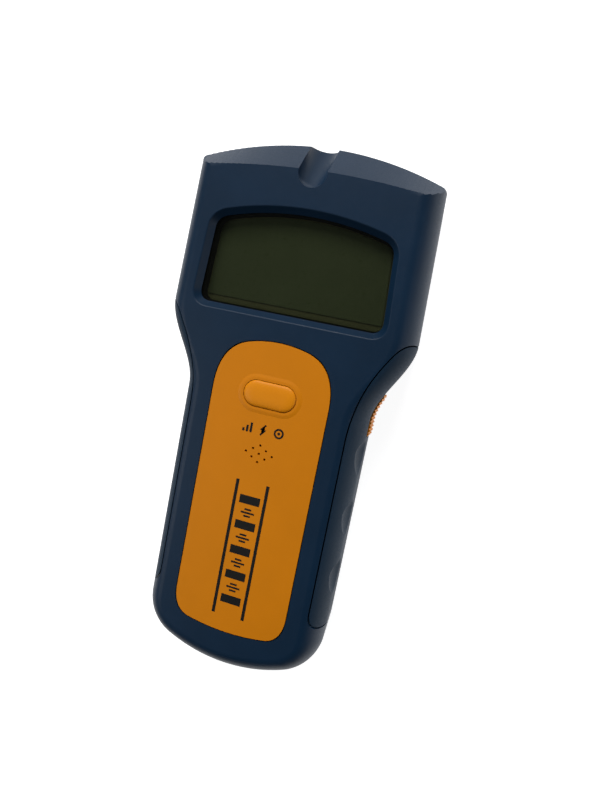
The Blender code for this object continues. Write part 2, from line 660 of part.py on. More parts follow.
def rear_shell():
    made = tool_solid("rear_shell", NAVY)
    keep(made, slab("rear_guide", -THICKNESS, SPLIT_Z))
    for side in (1, -1):
        cut(made, grip_pocket("grip_pocket", side))
    cut(made, *rooms())
    outer = BAY_HALF + BAY_WALL
    low = WALL / 2
    bay_tail = BAY_TAIL_Y - WALL / 2
    bay_head = BAY_HEAD_Y + BAY_WALL
    upper = box("bay_top", (-outer, bay_tail, low), (outer, bay_head, BAY_TOP_Z + BAY_CEILING))
    keep(upper, body_solid("bay_guide", SHELL_CORE + GAP))
    join(made, box("bay_foot", (-outer, bay_tail, low), (outer, bay_head, SPLIT_Z - GAP)), upper)
    cut(made, box("bay_room", (-BAY_HALF, BAY_TAIL_Y, -THICKNESS), (BAY_HALF, BAY_HEAD_Y, BAY_TOP_Z)))
    door_low = (-DOOR_HALF - GAP, BAY_TAIL_Y, -THICKNESS)
    cut(made, box("door_hole", door_low, (DOOR_HALF + GAP, BAY_HEAD_Y, DOOR_TOP_Z + GAP)))
    for side in (1, -1):
        middle = side * lug_middle()
        half = DOOR_LUG_WIDTH / 2 + GAP
        reach = BAY_TAIL_Y - DOOR_LUG_REACH - 1 * MM
        room_high = (middle + half, BAY_TAIL_Y + GAP, HANDLE_FLOOR + LUG_ROOM_HEIGHT)
        room = ((middle - half, reach, HANDLE_FLOOR), room_high)
        cut(made, box("lug_room", *room))
    half = LATCH_WIDTH / 2 + GAP
    hook_high = (half, BAY_HEAD_Y + 0.9 * MM, DOOR_TOP_Z + LATCH_HEIGHT + 1 * MM)
    hook = ((-half, BAY_HEAD_Y - GAP, DOOR_TOP_Z), hook_high)
    cut(made, box("latch_room", *hook))
    lead_high = (LEAD_HOLE_HALF, BAY_HEAD_Y + 2 * BAY_WALL, BAY_TOP_Z - 1 * MM)
    lead_hole = ((-LEAD_HOLE_HALF, BAY_HEAD_Y - GAP, BATTERY_MIDDLE_Z), lead_high)
    cut(made, box("lead_hole", *lead_hole))
    seat, meet = case_screw_levels()
    for place in mirrored(CASE_SCREWS):
        join(made, boss("case_boss", place, BOSS_RADIUS + 0.8 * MM, WALL / 2, meet))
        cut(made, boss("head_well", place, SCREW_HEAD_RADIUS + GAP, -THICKNESS, seat + SCREW_HEAD_HEIGHT))
        cut(made, boss("clear_hole", place, SCREW_RADIUS + GAP, -THICKNESS, THICKNESS))
    for place in sensor_screws():
        join(made, boss("sensor_post", place, BOARD_BOSS_RADIUS, WALL / 2, SENSOR_BOARD_Z - GAP))
        cut(made, boss("pilot", place, BOARD_SCREW_RADIUS + GAP, WALL / 2, THICKNESS))
    return smooth(made, 30)


def lug_middle():
    return DOOR_HALF - DOOR_LUG_WIDTH / 2 - 1.5 * MM


def battery_door():
    plate = ((-DOOR_HALF, DOOR_TAIL_Y, DOOR_RECESS), (DOOR_HALF, DOOR_HEAD_Y, DOOR_TOP_Z))
    made = box("battery_door", *plate, NAVY)
    for side in (1, -1):
        middle = side * lug_middle()
        half = DOOR_LUG_WIDTH / 2
        arm = [
            (DOOR_TAIL_Y + 2 * MM, DOOR_TOP_Z - 0.4 * MM),
            (DOOR_TAIL_Y + 2 * MM, HANDLE_FLOOR + GAP + 0.9 * MM),
            (DOOR_TAIL_Y - DOOR_LUG_REACH, HANDLE_FLOOR + GAP + 0.9 * MM),
            (DOOR_TAIL_Y - DOOR_LUG_REACH, HANDLE_FLOOR + GAP),
            (DOOR_TAIL_Y + 0.6 * MM, HANDLE_FLOOR + GAP),
            (DOOR_TAIL_Y + 0.6 * MM, DOOR_TOP_Z - 0.4 * MM),
        ]
        join(made, loft("lug", [[(x, y, z) for y, z in arm] for x in (middle - half, middle + half)]))
    half = LATCH_WIDTH / 2
    tab_low = (-half, DOOR_HEAD_Y - LATCH_THICKNESS, DOOR_TOP_Z - 0.4 * MM)
    tab = (tab_low, (half, DOOR_HEAD_Y, DOOR_TOP_Z + LATCH_HEIGHT))
    join(made, box("latch", *tab))
    grooves = 5
    for step in range(grooves):
        y = DOOR_HEAD_Y - 4 * MM - 1.6 * MM * step
        groove = ((-6 * MM, y - 0.4 * MM, -1 * MM), (6 * MM, y + 0.4 * MM, DOOR_RECESS + 0.4 * MM))
        cut(made, box("groove", *groove))
    return smooth(made, 30)


def battery_pad():
    half = BATTERY_WIDTH / 2 - 3 * MM
    low = (-half, BATTERY_TAIL_Y + 8 * MM, PAD_Z)
    high = (half, BATTERY_HEAD_Y - 10 * MM, PAD_Z + PAD_THICKNESS)
    return box("battery_pad", low, high, FOAM)


def fascia_panel():
    top = THICKNESS
    made = prism("fascia_panel", fascia_outline(), top - FASCIA_THICKNESS, top, AMBER)
    ring = obround(SELECT_LENGTH + 3 * MM, SELECT_WIDTH + 3 * MM, SELECT_Y, 12)
    collar = prism("collar", ring, top - FASCIA_THICKNESS / 2, top + 0.2 * MM)
    join(made, collar)
    opening = obround(SELECT_LENGTH + 2 * GAP, SELECT_WIDTH + 2 * GAP, SELECT_Y, 12)
    cut(made, prism("select_hole", opening, 0, 2 * THICKNESS))
    for row in (-1, 0, 1):
        for column in (-1, 0, 1):
            x = SOUND_HOLE_PITCH * (row + column)
            y = SOUND_Y + SOUND_HOLE_ROW * (row - column)
            hole = [(SOUND_HOLE_RADIUS, 0), (SOUND_HOLE_RADIUS, 2 * THICKNESS)]
            cut(made, turned("sound_hole", hole, (x, y, 0), None, (0, 0, 1), 10))
    return smooth(made, 30)


def select_button():
    """A domed obround cap with a flange that the shell holds in."""
    top = THICKNESS + SELECT_HEIGHT
    flange_z = INNER_TOP_Z - GAP
    rings = [(SELECT_FLANGE, flange_z - SELECT_FLANGE_THICKNESS), (SELECT_FLANGE, flange_z), (0, flange_z)]
    rings += [(0, THICKNESS), (-0.35 * MM, top - 0.45 * MM), (-1.2 * MM, top - 0.12 * MM), (-2.2 * MM, top)]
    skins = []
    for grow, z in rings:
        outline = obround(SELECT_LENGTH + 2 * grow, SELECT_WIDTH + 2 * grow, SELECT_Y, 12)
        skins.append([(x, y, z) for x, y in outline])
    return smooth(loft("select_button", skins, AMBER_LIGHT), 30)


def switch_body(name, centre, direction):
    """A small push switch; direction points along its plunger."""
    depth = 1.9 * MM
    half = SWITCH_SIZE / 2
    outline = [(-half, -half), (half, -half), (half, half), (-half, half)]
    made = prism(name, outline, 0, SWITCH_HEIGHT, BLACK)
    well = [(PLUNGER_RADIUS + GAP, SWITCH_HEIGHT - depth), (PLUNGER_RADIUS + GAP, SWITCH_HEIGHT + depth)]
    cut(made, turned("well", well, (0, 0, 0), None, (0, 0, 1), 20))
    aim(made, centre, direction)
    return made


def switch_plunger(name, centre, direction):
    reach = SWITCH_HEIGHT + PLUNGER_PROUD
    soft = 0.2 * MM
    profile = [(PLUNGER_RADIUS, reach - 2 * MM), (PLUNGER_RADIUS, reach - soft)]
    profile.append((PLUNGER_RADIUS - soft, reach))
    made = turned(name, profile, (0, 0, 0), AMBER_LIGHT, (0, 0, 1), 20)
    aim(made, centre, direction)
    return made


def aim(made, place, direction):
    """Turns a piece that stands up to point along direction, and puts its foot at place."""
    turn = Vector((0, 0, 1)).rotation_difference(Vector(direction)).to_matrix().to_4x4()
    made.data.transform(turn)
    made.location = place


def side_switch_place():
    """The foot of the side switch, so that its plunger ends at the button's stem."""
    return (side_stem_x() - GAP - SWITCH_HEIGHT - PLUNGER_PROUD, SIDE_Y, side_switch_z())


def side_switch_z():
    return BOARD_Z - GAP - SWITCH_SIZE / 2


def side_stem_x():
    return side_x(SIDE_Y) - SIDE_SEAT - SIDE_FLANGE - 2 * MM


def side_button():
    """A ribbed key whose face follows the waist, with a flange and a stem behind it."""
    half = SIDE_LENGTH / 2
    steps = SIDE_RIBS * 4
    face = []
    for step in range(steps + 1):
        y = SIDE_Y - half + SIDE_LENGTH * step / steps
        edge = min(step, steps - step)
        rise = SIDE_PROUD - (0.5 * MM if edge == 0 else 0)
        rise -= SIDE_RIB_DEPTH if step % 4 in (2, 3) and edge > 1 else 0
        face.append((side_x(y) + rise, y))
    deep = SIDE_SEAT
    back = [(side_x(y) - deep - 0.4 * MM, y) for y in (SIDE_Y + half, SIDE_Y, SIDE_Y - half)]
    low = SIDE_Z - SIDE_HEIGHT / 2
    high = SIDE_Z + SIDE_HEIGHT / 2
    made = prism("side_button", face + back, low, high, AMBER_LIGHT)
    reach = [SIDE_Y - half - 1 * MM + (SIDE_LENGTH + 2 * MM) * step / 6 for step in range(7)]
    flange = [(side_x(y) - deep, y) for y in reach]
    flange += [(side_x(y) - deep - SIDE_FLANGE, y) for y in reversed(reach)]
    join(made, prism("flange", flange, low - 1 * MM, high + 1 * MM))
    stem_low = (side_stem_x(), SIDE_Y - 1.6 * MM, side_switch_z() - 1.6 * MM)
    stem_high = (side_x(SIDE_Y) - deep - SIDE_FLANGE / 2, SIDE_Y + 1.6 * MM, side_switch_z() + 1.6 * MM)
    join(made, box("stem", stem_low, stem_high))
    return smooth(made, 30)


def display_lens():
    top = LENS_TOP_Z
    outline = window_outline(RIM_RUN - LENS_LAP)
    return smooth(prism("display_lens", outline, top - LENS_THICKNESS, top, CLEAR), 30)


def lcd_pieces():
    inner = window_outline(RIM_RUN + 0.2 * MM)
    outer = window_outline(RIM_RUN - LENS_LAP)
    low = BOARD_TOP_Z + GAP
    high = LENS_TOP_Z - LENS_THICKNESS - GAP
    frame = prism("lcd_frame", outer, low, high, BLACK)
    cut(frame, prism("frame_opening", inner, 0, THICKNESS))
    half = WINDOW_HALF - RIM_RUN - 0.7 * MM
    low_y = WINDOW_BOTTOM_Y + RIM_RUN + 0.7 * MM
    panel = prism("lcd_panel", window_outline(RIM_RUN + 0.2 * MM + GAP), LCD_Z, LCD_TOP_Z, LCD_GREEN)
    strip_half = half - 5 * MM
    strip_y = low_y + 1.2 * MM
    strip_low = (-strip_half, strip_y, BOARD_TOP_Z + GAP)
    strip_high = (strip_half, strip_y + CONTACT_STRIP_WIDTH, LCD_Z - GAP)
    box("lcd_contact_strip", strip_low, strip_high, FOAM)
    smooth(frame, 30)
    smooth(panel, 30)


def main_board():
    head_half = HEAD_WIDTH / 2 - HEAD_TAPER - WALL - BOARD_EDGE_GAP
    handle_half = HANDLE_WIDTH / 2 - SHELL_CORE - BOARD_EDGE_GAP - 3 * MM
    top = END_Y - BOARD_HEAD_INSET
    neck = HEAD_CORNER_Y + 1.5 * MM
    foot = BAY_HEAD_Y + BAY_WALL + 1 * MM
    half = [(0, top), (head_half, top), (head_half, neck)]
    half += [(handle_half, neck - 4 * MM), (handle_half, foot), (0, foot)]
    made = prism("main_board", both_sides(half), BOARD_Z, BOARD_TOP_Z, BOARD_GREEN)
    for place in mirrored(BOARD_SCREWS):
        cut(made, boss("screw_hole", place, BOARD_SCREW_RADIUS + GAP, 0, THICKNESS))
    return made


def sensor_screws():
    x = HEAD_WIDTH / 2 - 8 * MM
    return [(x, HEAD_CORNER_Y + 8 * MM), (-x, HEAD_CORNER_Y + 8 * MM)]


def sensor_pieces():
    """The board behind the head's back face, and the copper plates under it that feel the wall."""
    half = HEAD_WIDTH / 2 - WALL - SENSOR_BOARD_EDGE_GAP
    low_y = HEAD_CORNER_Y + 4 * MM
    high_y = END_Y - 16 * MM
    z = SENSOR_BOARD_Z
    board = box("sensor_board", (-half, low_y, z), (half, high_y, z + SENSOR_BOARD_THICKNESS), BOARD_GREEN)
    for place in sensor_screws():
        cut(board, boss("screw_hole", place, BOARD_SCREW_RADIUS + GAP, 0, THICKNESS))
    plate_high = z - GAP
    width = (2 * half - 8 * MM - 2 * SENSOR_PLATE_GAP) / 3
    for index, name in enumerate(("left", "middle", "right")):
        x = -half + 4 * MM + (width + SENSOR_PLATE_GAP) * index
        low = (x, low_y + 8 * MM, plate_high - SENSOR_PLATE_THICKNESS)
        box(f"sensor_plate_{name}", low, (x + width, high_y - 2 * MM, plate_high), COPPER)


def coil_pieces():
    """The metal detector's coil, wound on a spool that stands on the sensor board."""
    foot = SENSOR_BOARD_Z + SENSOR_BOARD_THICKNESS + GAP
    y = HEAD_CORNER_Y + 18.5 * MM
    flange = 1 * MM
    core = COIL_CORE_RADIUS
    outer = COIL_RADIUS + 0.7 * MM
    top = COIL_HEIGHT
    profile = [(outer, 0), (outer, flange), (core, flange)]
    profile += [(core, top - flange), (outer, top - flange), (outer, top)]
    turned("coil_spool", profile, (0, y, foot), WHITE, (0, 0, 1), 32)
    low = flange + GAP
    high = top - flange - GAP
    ring = [(COIL_RADIUS, low), (COIL_RADIUS, high)]
    winding = turned("coil_winding", ring, (0, y, foot), COPPER, (0, 0, 1), 32)
    hole = [(core + GAP, -top), (core + GAP, 2 * top)]
    cut(winding, turned("core_hole", hole, (0, y, foot), None, (0, 0, 1), 32))
    smooth(winding)


def board_parts():
    """The parts that are soldered to the main board."""
    top = BOARD_TOP_Z + GAP
    under = BOARD_Z - GAP
    can = [(BUZZER_RADIUS, 0), (BUZZER_RADIUS, BUZZER_HEIGHT)]
    turned("buzzer", can, (0, SOUND_Y, top), BLACK, (0, 0, 1), 28)
    chip_y = HEAD_CORNER_Y + 18 * MM
    box("controller_chip", (-22 * MM, chip_y, under - 2 * MM), (-10 * MM, chip_y + 12 * MM, under), BLACK)
    box("detector_chip", (10 * MM, chip_y, under - 1.6 * MM), (18 * MM, chip_y + 5 * MM, under), BLACK)
    clock = [(1.5 * MM, -5 * MM), (1.5 * MM, 0)]
    turned("clock_crystal", clock, (-16 * MM, chip_y - 6 * MM, under), STEEL, (0, 0, 1), 16)
    for index, x in enumerate((14, 21)):
        can = [(2.5 * MM, -7 * MM), (2.5 * MM, 0)]
        place = (x * MM, HEAD_CORNER_Y + 8 * MM, under)
        turned(f"capacitor_{index + 1}", can, place, SLEEVE, (0, 0, 1), 18)
    regulator_y = BAY_HEAD_Y + BAY_WALL + 10 * MM
    low = (-9 * MM, regulator_y, under - 1.6 * MM)
    box("voltage_regulator", low, (-4 * MM, regulator_y + 4 * MM, under), BLACK)
    link_low = SENSOR_BOARD_Z + SENSOR_BOARD_THICKNESS + GAP
    link_y = END_Y - 19 * MM
    box("board_link", (-10 * MM, link_y, link_low), (10 * MM, link_y + 2.5 * MM, under), BLACK)


def battery_pieces():
    half = BATTERY_WIDTH / 2
    low = (-half, BATTERY_TAIL_Y, BATTERY_Z)
    battery = box("battery", low, (half, BATTERY_HEAD_Y, BATTERY_TOP_Z), BATTERY_CASE, 1.5 * MM)
    smooth(settle(battery))
    foot = BATTERY_HEAD_Y + GAP
    ends = (("positive", -1, 20, TERMINAL_RADIUS), ("negative", 1, 6, TERMINAL_RADIUS * 1.35))
    for name, side, sides, radius in ends:
        place = (side * TERMINAL_SPACING / 2, foot, BATTERY_MIDDLE_Z)
        cap = [(radius, 0), (radius, TERMINAL_HEIGHT)]
        turned(f"battery_terminal_{name}", cap, place, STEEL, (0, 1, 0), sides)
    snap_half = BATTERY_WIDTH / 2 - 0.6 * MM
    tall = BATTERY_HEIGHT / 2 - 2.4 * MM
    snap_low = (-snap_half, foot, BATTERY_MIDDLE_Z - tall)
    snap = box("battery_snap", snap_low, (snap_half, SNAP_HEAD_Y, BATTERY_MIDDLE_Z + tall), BLACK)
    for side in (1, -1):
        place = (side * TERMINAL_SPACING / 2, foot, BATTERY_MIDDLE_Z)
        radius = TERMINAL_RADIUS * 1.35 + GAP
        pocket = [(radius, -1 * MM), (radius, TERMINAL_HEIGHT + GAP)]
        cut(snap, turned("pocket", pocket, place, None, (0, 1, 0), 20))


def lead(name, x, finish):
    """A battery lead, from the snap connector through the bay's wall to the main board."""
    start = Vector((x, SNAP_HEAD_Y + GAP, BATTERY_MIDDLE_Z + 3 * MM))
    end_y = BAY_HEAD_Y + BAY_WALL + 5 * MM
    end = Vector((x * 1.3, end_y, BOARD_Z - GAP))
    handles = [start, start + Vector((0, 6 * MM, 0)), end - Vector((0, 0, 6 * MM)), end]
    count = 10
    curve = bpy.data.curves.new(name, "CURVE")
    curve.dimensions = "3D"
    spline = curve.splines.new("POLY")
    spline.points.add(count - 1)
    for step in range(count):
        t = step / (count - 1)
        weights = ((1 - t) ** 3, 3 * t * (1 - t) ** 2, 3 * t * t * (1 - t), t**3)
        point = sum((w * h for w, h in zip(weights, handles)), Vector())
        spline.points[step].co = (*point, 1)
    curve.bevel_depth = LEAD_RADIUS
    curve.bevel_resolution = 2
    curve.use_fill_caps = True
    made = bpy.data.objects.new(name, curve)
    bpy.context.scene.collection.objects.link(made)
    curve.materials.append(plastic(*finish))


def screw(name, place, radius, head_radius, head_height, length, direction, foot_z):
    """A pan-head screw; foot_z is the seat under its head, direction points from seat to tip."""
    profile = [
        (head_radius * 0.7, -head_height),
        (head_radius, -head_height * 0.6),
        (head_radius, 0),
        (radius, 0),
        (radius, length - radius),
        (radius * 0.3, length),
    ]
    made = turned(name, profile, (0, 0, 0), STEEL, (0, 0, 1), 14)
    slot = head_radius * 0.7
    for size in ((slot, radius * 0.3), (radius * 0.3, slot)):
        low = (-size[0], -size[1], -2 * head_height)
        cut(made, box("drive", low, (size[0], size[1], -head_height * 0.55)))
    smooth(made)
    if direction < 0:
        made.data.transform(Matrix.Rotation(math.pi, 4, "X"))
    made.location = (*place, foot_z)
    return made


def screws():
    seat = case_screw_levels()[0] + SCREW_HEAD_HEIGHT - GAP
    sizes = (SCREW_RADIUS, SCREW_HEAD_RADIUS, SCREW_HEAD_HEIGHT - 2 * GAP, CASE_SCREW_LENGTH)
    for index, place in enumerate(mirrored(CASE_SCREWS)):
        screw(f"case_screw_{index + 1}", place, *sizes, 1, seat)
    small = (BOARD_SCREW_RADIUS, BOARD_SCREW_HEAD_RADIUS, 1.2 * MM)
    for index, place in enumerate(mirrored(BOARD_SCREWS)):
        length = BOARD_THICKNESS + BOARD_SCREW_LENGTH
        screw(f"board_screw_{index + 1}", place, *small, length, 1, BOARD_Z - GAP)
    for index, place in enumerate(sensor_screws()):
        seat = SENSOR_BOARD_Z + SENSOR_BOARD_THICKNESS + GAP
        screw(f"sensor_screw_{index + 1}", place, *small, 3.4 * MM, -1, seat)


def hang(made, place):
    """Puts an object's origin on its joint's axis and leaves its shape where it is."""
    made.data.transform(Matrix.Translation(-Vector(place)))
    made.location = place
    return made


def build():
    clear_scene()
    front_shell()
    rear_shell()
    grip("left_grip", -1)
    grip("right_grip", 1)
    pivot = (0, DOOR_TAIL_Y, PIVOT_Z)
    hang(battery_door(), pivot)
    hang(battery_pad(), pivot)
    fascia_panel()
    hang(select_button(), (0, SELECT_Y, THICKNESS))
    hang(side_button(), (side_x(SIDE_Y), SIDE_Y, SIDE_Z))
    display_lens()
    lcd_pieces()
    main_board()
    sensor_pieces()
    coil_pieces()
    board_parts()
    up = (0, 0, 1)
    switch_body("select_switch_body", (0, SELECT_Y, BOARD_TOP_Z + GAP), up)
    switch_plunger("select_switch_plunger", (0, SELECT_Y, BOARD_TOP_Z + GAP), up)
    switch_body("side_switch_body", side_switch_place(), (1, 0, 0))
    switch_plunger("side_switch_plunger", side_switch_place(), (1, 0, 0))
    battery_pieces()
    lead("lead_red", -3 * MM, RED)
    lead("lead_black", 3 * MM, BLACK)
    screws()


build()
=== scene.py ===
# %% [markdown]
# # A handheld stud finder
# The tool lies on its back: X runs across it, +Y points at its head and +Z out of its display. Its working
# parts were designed before and arrive here as a fixed frame. This lesson makes the pieces that a hand and
# an eye meet: two shells, two rubber grips, an amber panel, two keys, a display and a battery door.

# %% Load the frame
import math

import bmesh
import bpy
from mathutils import Matrix, Vector


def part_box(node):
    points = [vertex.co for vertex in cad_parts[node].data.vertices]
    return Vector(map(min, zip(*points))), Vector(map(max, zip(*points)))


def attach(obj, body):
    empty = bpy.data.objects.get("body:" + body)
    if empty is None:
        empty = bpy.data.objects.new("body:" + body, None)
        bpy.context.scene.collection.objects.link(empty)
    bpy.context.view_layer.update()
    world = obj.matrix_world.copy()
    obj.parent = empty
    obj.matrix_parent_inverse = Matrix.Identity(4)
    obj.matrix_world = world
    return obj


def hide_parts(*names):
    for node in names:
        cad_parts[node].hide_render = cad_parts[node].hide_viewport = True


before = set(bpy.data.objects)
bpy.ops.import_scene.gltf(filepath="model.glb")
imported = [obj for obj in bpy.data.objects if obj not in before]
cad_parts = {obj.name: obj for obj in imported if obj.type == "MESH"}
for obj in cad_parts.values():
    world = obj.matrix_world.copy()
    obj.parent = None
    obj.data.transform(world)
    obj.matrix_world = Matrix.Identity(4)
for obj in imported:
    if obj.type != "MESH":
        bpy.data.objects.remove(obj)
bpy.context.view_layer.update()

# %% [markdown]
# ## Sizes
# Everything is worked out from the frame's own boxes and a few radii, so the skins land on the parts they
# cover.

# %% Read the sizes
MM = 0.001
GAP = 0.3 * MM
WALL = 2 * MM
SHELL_LOW, SHELL_HIGH = (Vector(corner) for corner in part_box("front_shell"))
FASCIA_LOW, FASCIA_HIGH = (Vector(corner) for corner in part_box("fascia_panel"))
DOOR_LOW, DOOR_HIGH = (Vector(corner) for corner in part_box("battery_door"))
SELECT_LOW, SELECT_HIGH = (Vector(corner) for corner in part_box("select_button"))
SIDE_LOW, SIDE_HIGH = (Vector(corner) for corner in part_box("side_button"))
LENS_LOW, LENS_HIGH = (Vector(corner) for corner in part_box("display_lens"))
GRIP_LOW, GRIP_HIGH = (Vector(corner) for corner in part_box("right_grip"))
END_Y = -SHELL_LOW.y
TOP = SHELL_HIGH.z
SPLIT_Z = SHELL_LOW.z - GAP / 2
HEAD_HALF = SHELL_HIGH.x
HANDLE_HALF = 29.4 * MM
CORNER_Y = GRIP_HIGH.y + GAP
WAIST = 25.2 * MM
HEAD_TAPER = 1.7 * MM
SHELL_CORE = 4.5 * MM
HANDLE_FLOOR = 2.2 * MM
print(f"tool {2 * END_Y / MM:.1f} mm long, {2 * HEAD_HALF / MM:.1f} mm wide, {TOP / MM:.1f} mm thick")

# %% [markdown]
# ## Small tools
# A primitive appears selected all over, and the frame's nodes start selected too, so everything is
# deselected before each step. A modifier is applied as soon as it is set, which keeps the finished meshes
# plain.

# %% Selecting and finishing
MERGE = 0.004 * MM
FLAT = 0.99995
MANY_SIDED = 12


def deselect():
    if bpy.context.object and bpy.context.object.mode != "OBJECT":
        bpy.ops.object.mode_set(mode="OBJECT")
    bpy.ops.object.select_all(action="DESELECT")


def only(piece):
    deselect()
    bpy.context.view_layer.objects.active = piece
    piece.select_set(True)
    return piece


def apply(piece, kind, **settings):
    """Adds a modifier, sets it and applies it."""
    only(piece)
    step = piece.modifiers.new(kind.lower(), kind)
    for name, value in settings.items():
        setattr(step, name, value)
    bpy.ops.object.modifier_apply(modifier=step.name)
    return piece


def in_edit_mode(piece, *steps):
    """Runs edit-mode operators, each given as (operator, settings), on the whole piece."""
    only(piece)
    bpy.ops.object.mode_set(mode="EDIT")
    bpy.ops.mesh.select_all(action="SELECT")
    for operator, settings in steps:
        operator(**settings)
    bpy.ops.object.mode_set(mode="OBJECT")
    return piece


def boolean(piece, other, operation):
    apply(piece, "BOOLEAN", object=other, operation=operation, solver="EXACT")
    bpy.data.objects.remove(other, do_unlink=True)
    return piece


def carve(piece, *cutters):
    for cutter in cutters:
        boolean(piece, cutter, "DIFFERENCE")
    return piece


def soften(piece, width, segments=3, degrees=40):
    """Rounds the crisp edges, as a mould does, and keeps the flat faces flat."""
    merge = {"threshold": MERGE}
    in_edit_mode(piece, (bpy.ops.mesh.remove_doubles, merge), (bpy.ops.mesh.dissolve_degenerate, merge))
    settings = {"width": width, "segments": segments, "limit_method": "ANGLE", "harden_normals": False}
    apply(piece, "BEVEL", angle_limit=math.radians(degrees), use_clamp_overlap=True, **settings)
    return polish(piece)


def polish(piece, degrees=32):
    only(piece)
    bpy.ops.object.shade_smooth_by_angle(angle=math.radians(degrees))
    for face in piece.data.polygons:
        if abs(face.normal.z) > FLAT or len(face.vertices) > MANY_SIDED:
            face.use_smooth = False
    apply(piece, "WEIGHTED_NORMAL", keep_sharp=True, weight=80)
    return piece


# %% Extruding a skin ring by ring
def skin(name, rings):
    """Extrudes a filled circle ring by ring and sets each ring on its own outline."""
    deselect()
    bpy.ops.mesh.primitive_circle_add(vertices=len(rings[0]), radius=1 * MM, fill_type="NGON")
    piece = bpy.context.object
    piece.name = piece.data.name = name
    for vertex, place in zip(piece.data.vertices, rings[0]):
        vertex.co = place
    bpy.ops.object.mode_set(mode="EDIT")
    bpy.ops.mesh.select_all(action="SELECT")
    for ring in rings[1:]:
        bpy.ops.mesh.extrude_region_move()
        edit = bmesh.from_edit_mesh(piece.data)
        top = next(face for face in edit.faces if face.select)
        for vertex, place in zip(list(top.verts), ring):
            vertex.co = place
        bmesh.update_edit_mesh(piece.data)
    bpy.ops.mesh.select_all(action="SELECT")
    bpy.ops.mesh.normals_make_consistent(inside=False)
    bpy.ops.object.mode_set(mode="OBJECT")
    return piece


def plate(name, outline, low, high):
    return skin(name, [[(x, y, z) for x, y in outline] for z in (low, high)])


def block(name, low, high):
    deselect()
    middle = (Vector(low) + Vector(high)) / 2
    bpy.ops.mesh.primitive_cube_add(size=1, location=middle)
    piece = bpy.context.object
    piece.name = name
    piece.scale = Vector(high) - Vector(low)
    bpy.ops.object.transform_apply(location=True, rotation=True, scale=True)
    return piece


def rod(name, place, radius, low, high, sides=32):
    deselect()
    middle = (place[0], place[1], (low + high) / 2)
    bpy.ops.mesh.primitive_cylinder_add(vertices=sides, radius=radius, depth=high - low, location=middle)
    piece = bpy.context.object
    piece.name = name
    bpy.ops.object.transform_apply(location=True, rotation=True, scale=True)
    return piece


# %% [markdown]
# ## The tool's outline
# The plan is a broad head whose end is a shallow arc, a waist that eases into the handle, and a round tail.
# It is written as arcs and one ease curve, so that every skin can ask for it moved inwards by any distance.
# Moving the arcs' radii, and not the points, keeps the corners clean however far inwards the outline goes.

# %% Draw the outline
def arc(centre, radius, start, end, count):
    steps = [start + (end - start) * step / (count - 1) for step in range(count)]
    return [(centre[0] + radius * math.cos(a), centre[1] + radius * math.sin(a)) for a in steps]


def bend(before, corner, after, count):
    """A curve between two points that leans on a corner."""
    points = []
    for step in range(count):
        t = step / (count - 1)
        weights = ((1 - t) ** 2, 2 * t * (1 - t), t * t)
        guides = (before, corner, after)
        points.append(tuple(sum(w * p[k] for w, p in zip(weights, guides)) for k in (0, 1)))
    return points


def both_sides(half):
    return half + [(-x, y) for x, y in reversed(half) if x > 1e-6]


def side_x(y, inset=0.0):
    """Half the tool's width at y."""
    head = HEAD_HALF - inset
    if y >= CORNER_Y:
        return head - HEAD_TAPER * (y - CORNER_Y) / (END_Y - CORNER_Y)
    share = min((CORNER_Y - y) / WAIST, 1.0)
    return head + (HANDLE_HALF - HEAD_HALF) * (3 * share**2 - 2 * share**3)


HEAD_ARC = 105 * MM
HEAD_FILLET = 1.3 * MM
LEAST_FILLET = 0.4 * MM
KEEP_INSIDE = 0.03 * MM
TAIL_ARC = 52 * MM
TAIL_CORNER = 15 * MM


def tool_outline(inset):
    centre = END_Y - HEAD_ARC
    radius = HEAD_ARC - inset - KEEP_INSIDE
    corner_y = END_Y
    for _ in range(6):
        corner_x = side_x(corner_y, inset)
        corner_y = centre + math.sqrt(radius**2 - corner_x**2)
    fillet = max(HEAD_FILLET - inset / 4, LEAST_FILLET)
    last = math.asin((corner_x - fillet) / radius)
    half = arc((0, centre), radius, math.pi / 2, math.pi / 2 - last, 25)
    below = corner_y - fillet
    half += bend(half[-1], (corner_x, corner_y), (side_x(below, inset), below), 9)[1:]
    half += [(side_x(y, inset), y) for y in (below + (CORNER_Y - below) * step / 6 for step in range(1, 6))]
    half += [(side_x(y, inset), y) for y in (CORNER_Y - WAIST * step / 30 for step in range(31))]
    tail_centre = -END_Y + TAIL_ARC
    reach = TAIL_ARC - TAIL_CORNER
    turn_x = HANDLE_HALF - TAIL_CORNER
    turn_y = tail_centre - math.sqrt(reach**2 - turn_x**2)
    lean = math.asin(turn_x / reach)
    handle_y = half[-1][1]
    half += [(HANDLE_HALF - inset, handle_y + (turn_y - handle_y) * step / 8) for step in range(1, 8)]
    half += arc((turn_x, turn_y), TAIL_CORNER - inset, 0, lean - math.pi / 2, 22)
    half += arc((0, tail_centre), TAIL_ARC - inset, lean - math.pi / 2, -math.pi / 2, 14)[1:-1]
    half.append((0.0, -END_Y + inset))
    return both_sides(half)


print("points in the outline:", len(tool_outline(0)))

# %% [markdown]
# ## The whole form
# Both shells and both grips are cut from one solid, so their surfaces run on across every seam. The front's
# edge is a quarter of an ellipse, deeper than it is wide, which is why the sides look soft. A sloping face
# crosses the head's end, and a round groove with a ball end marks the middle, where a pencil goes.

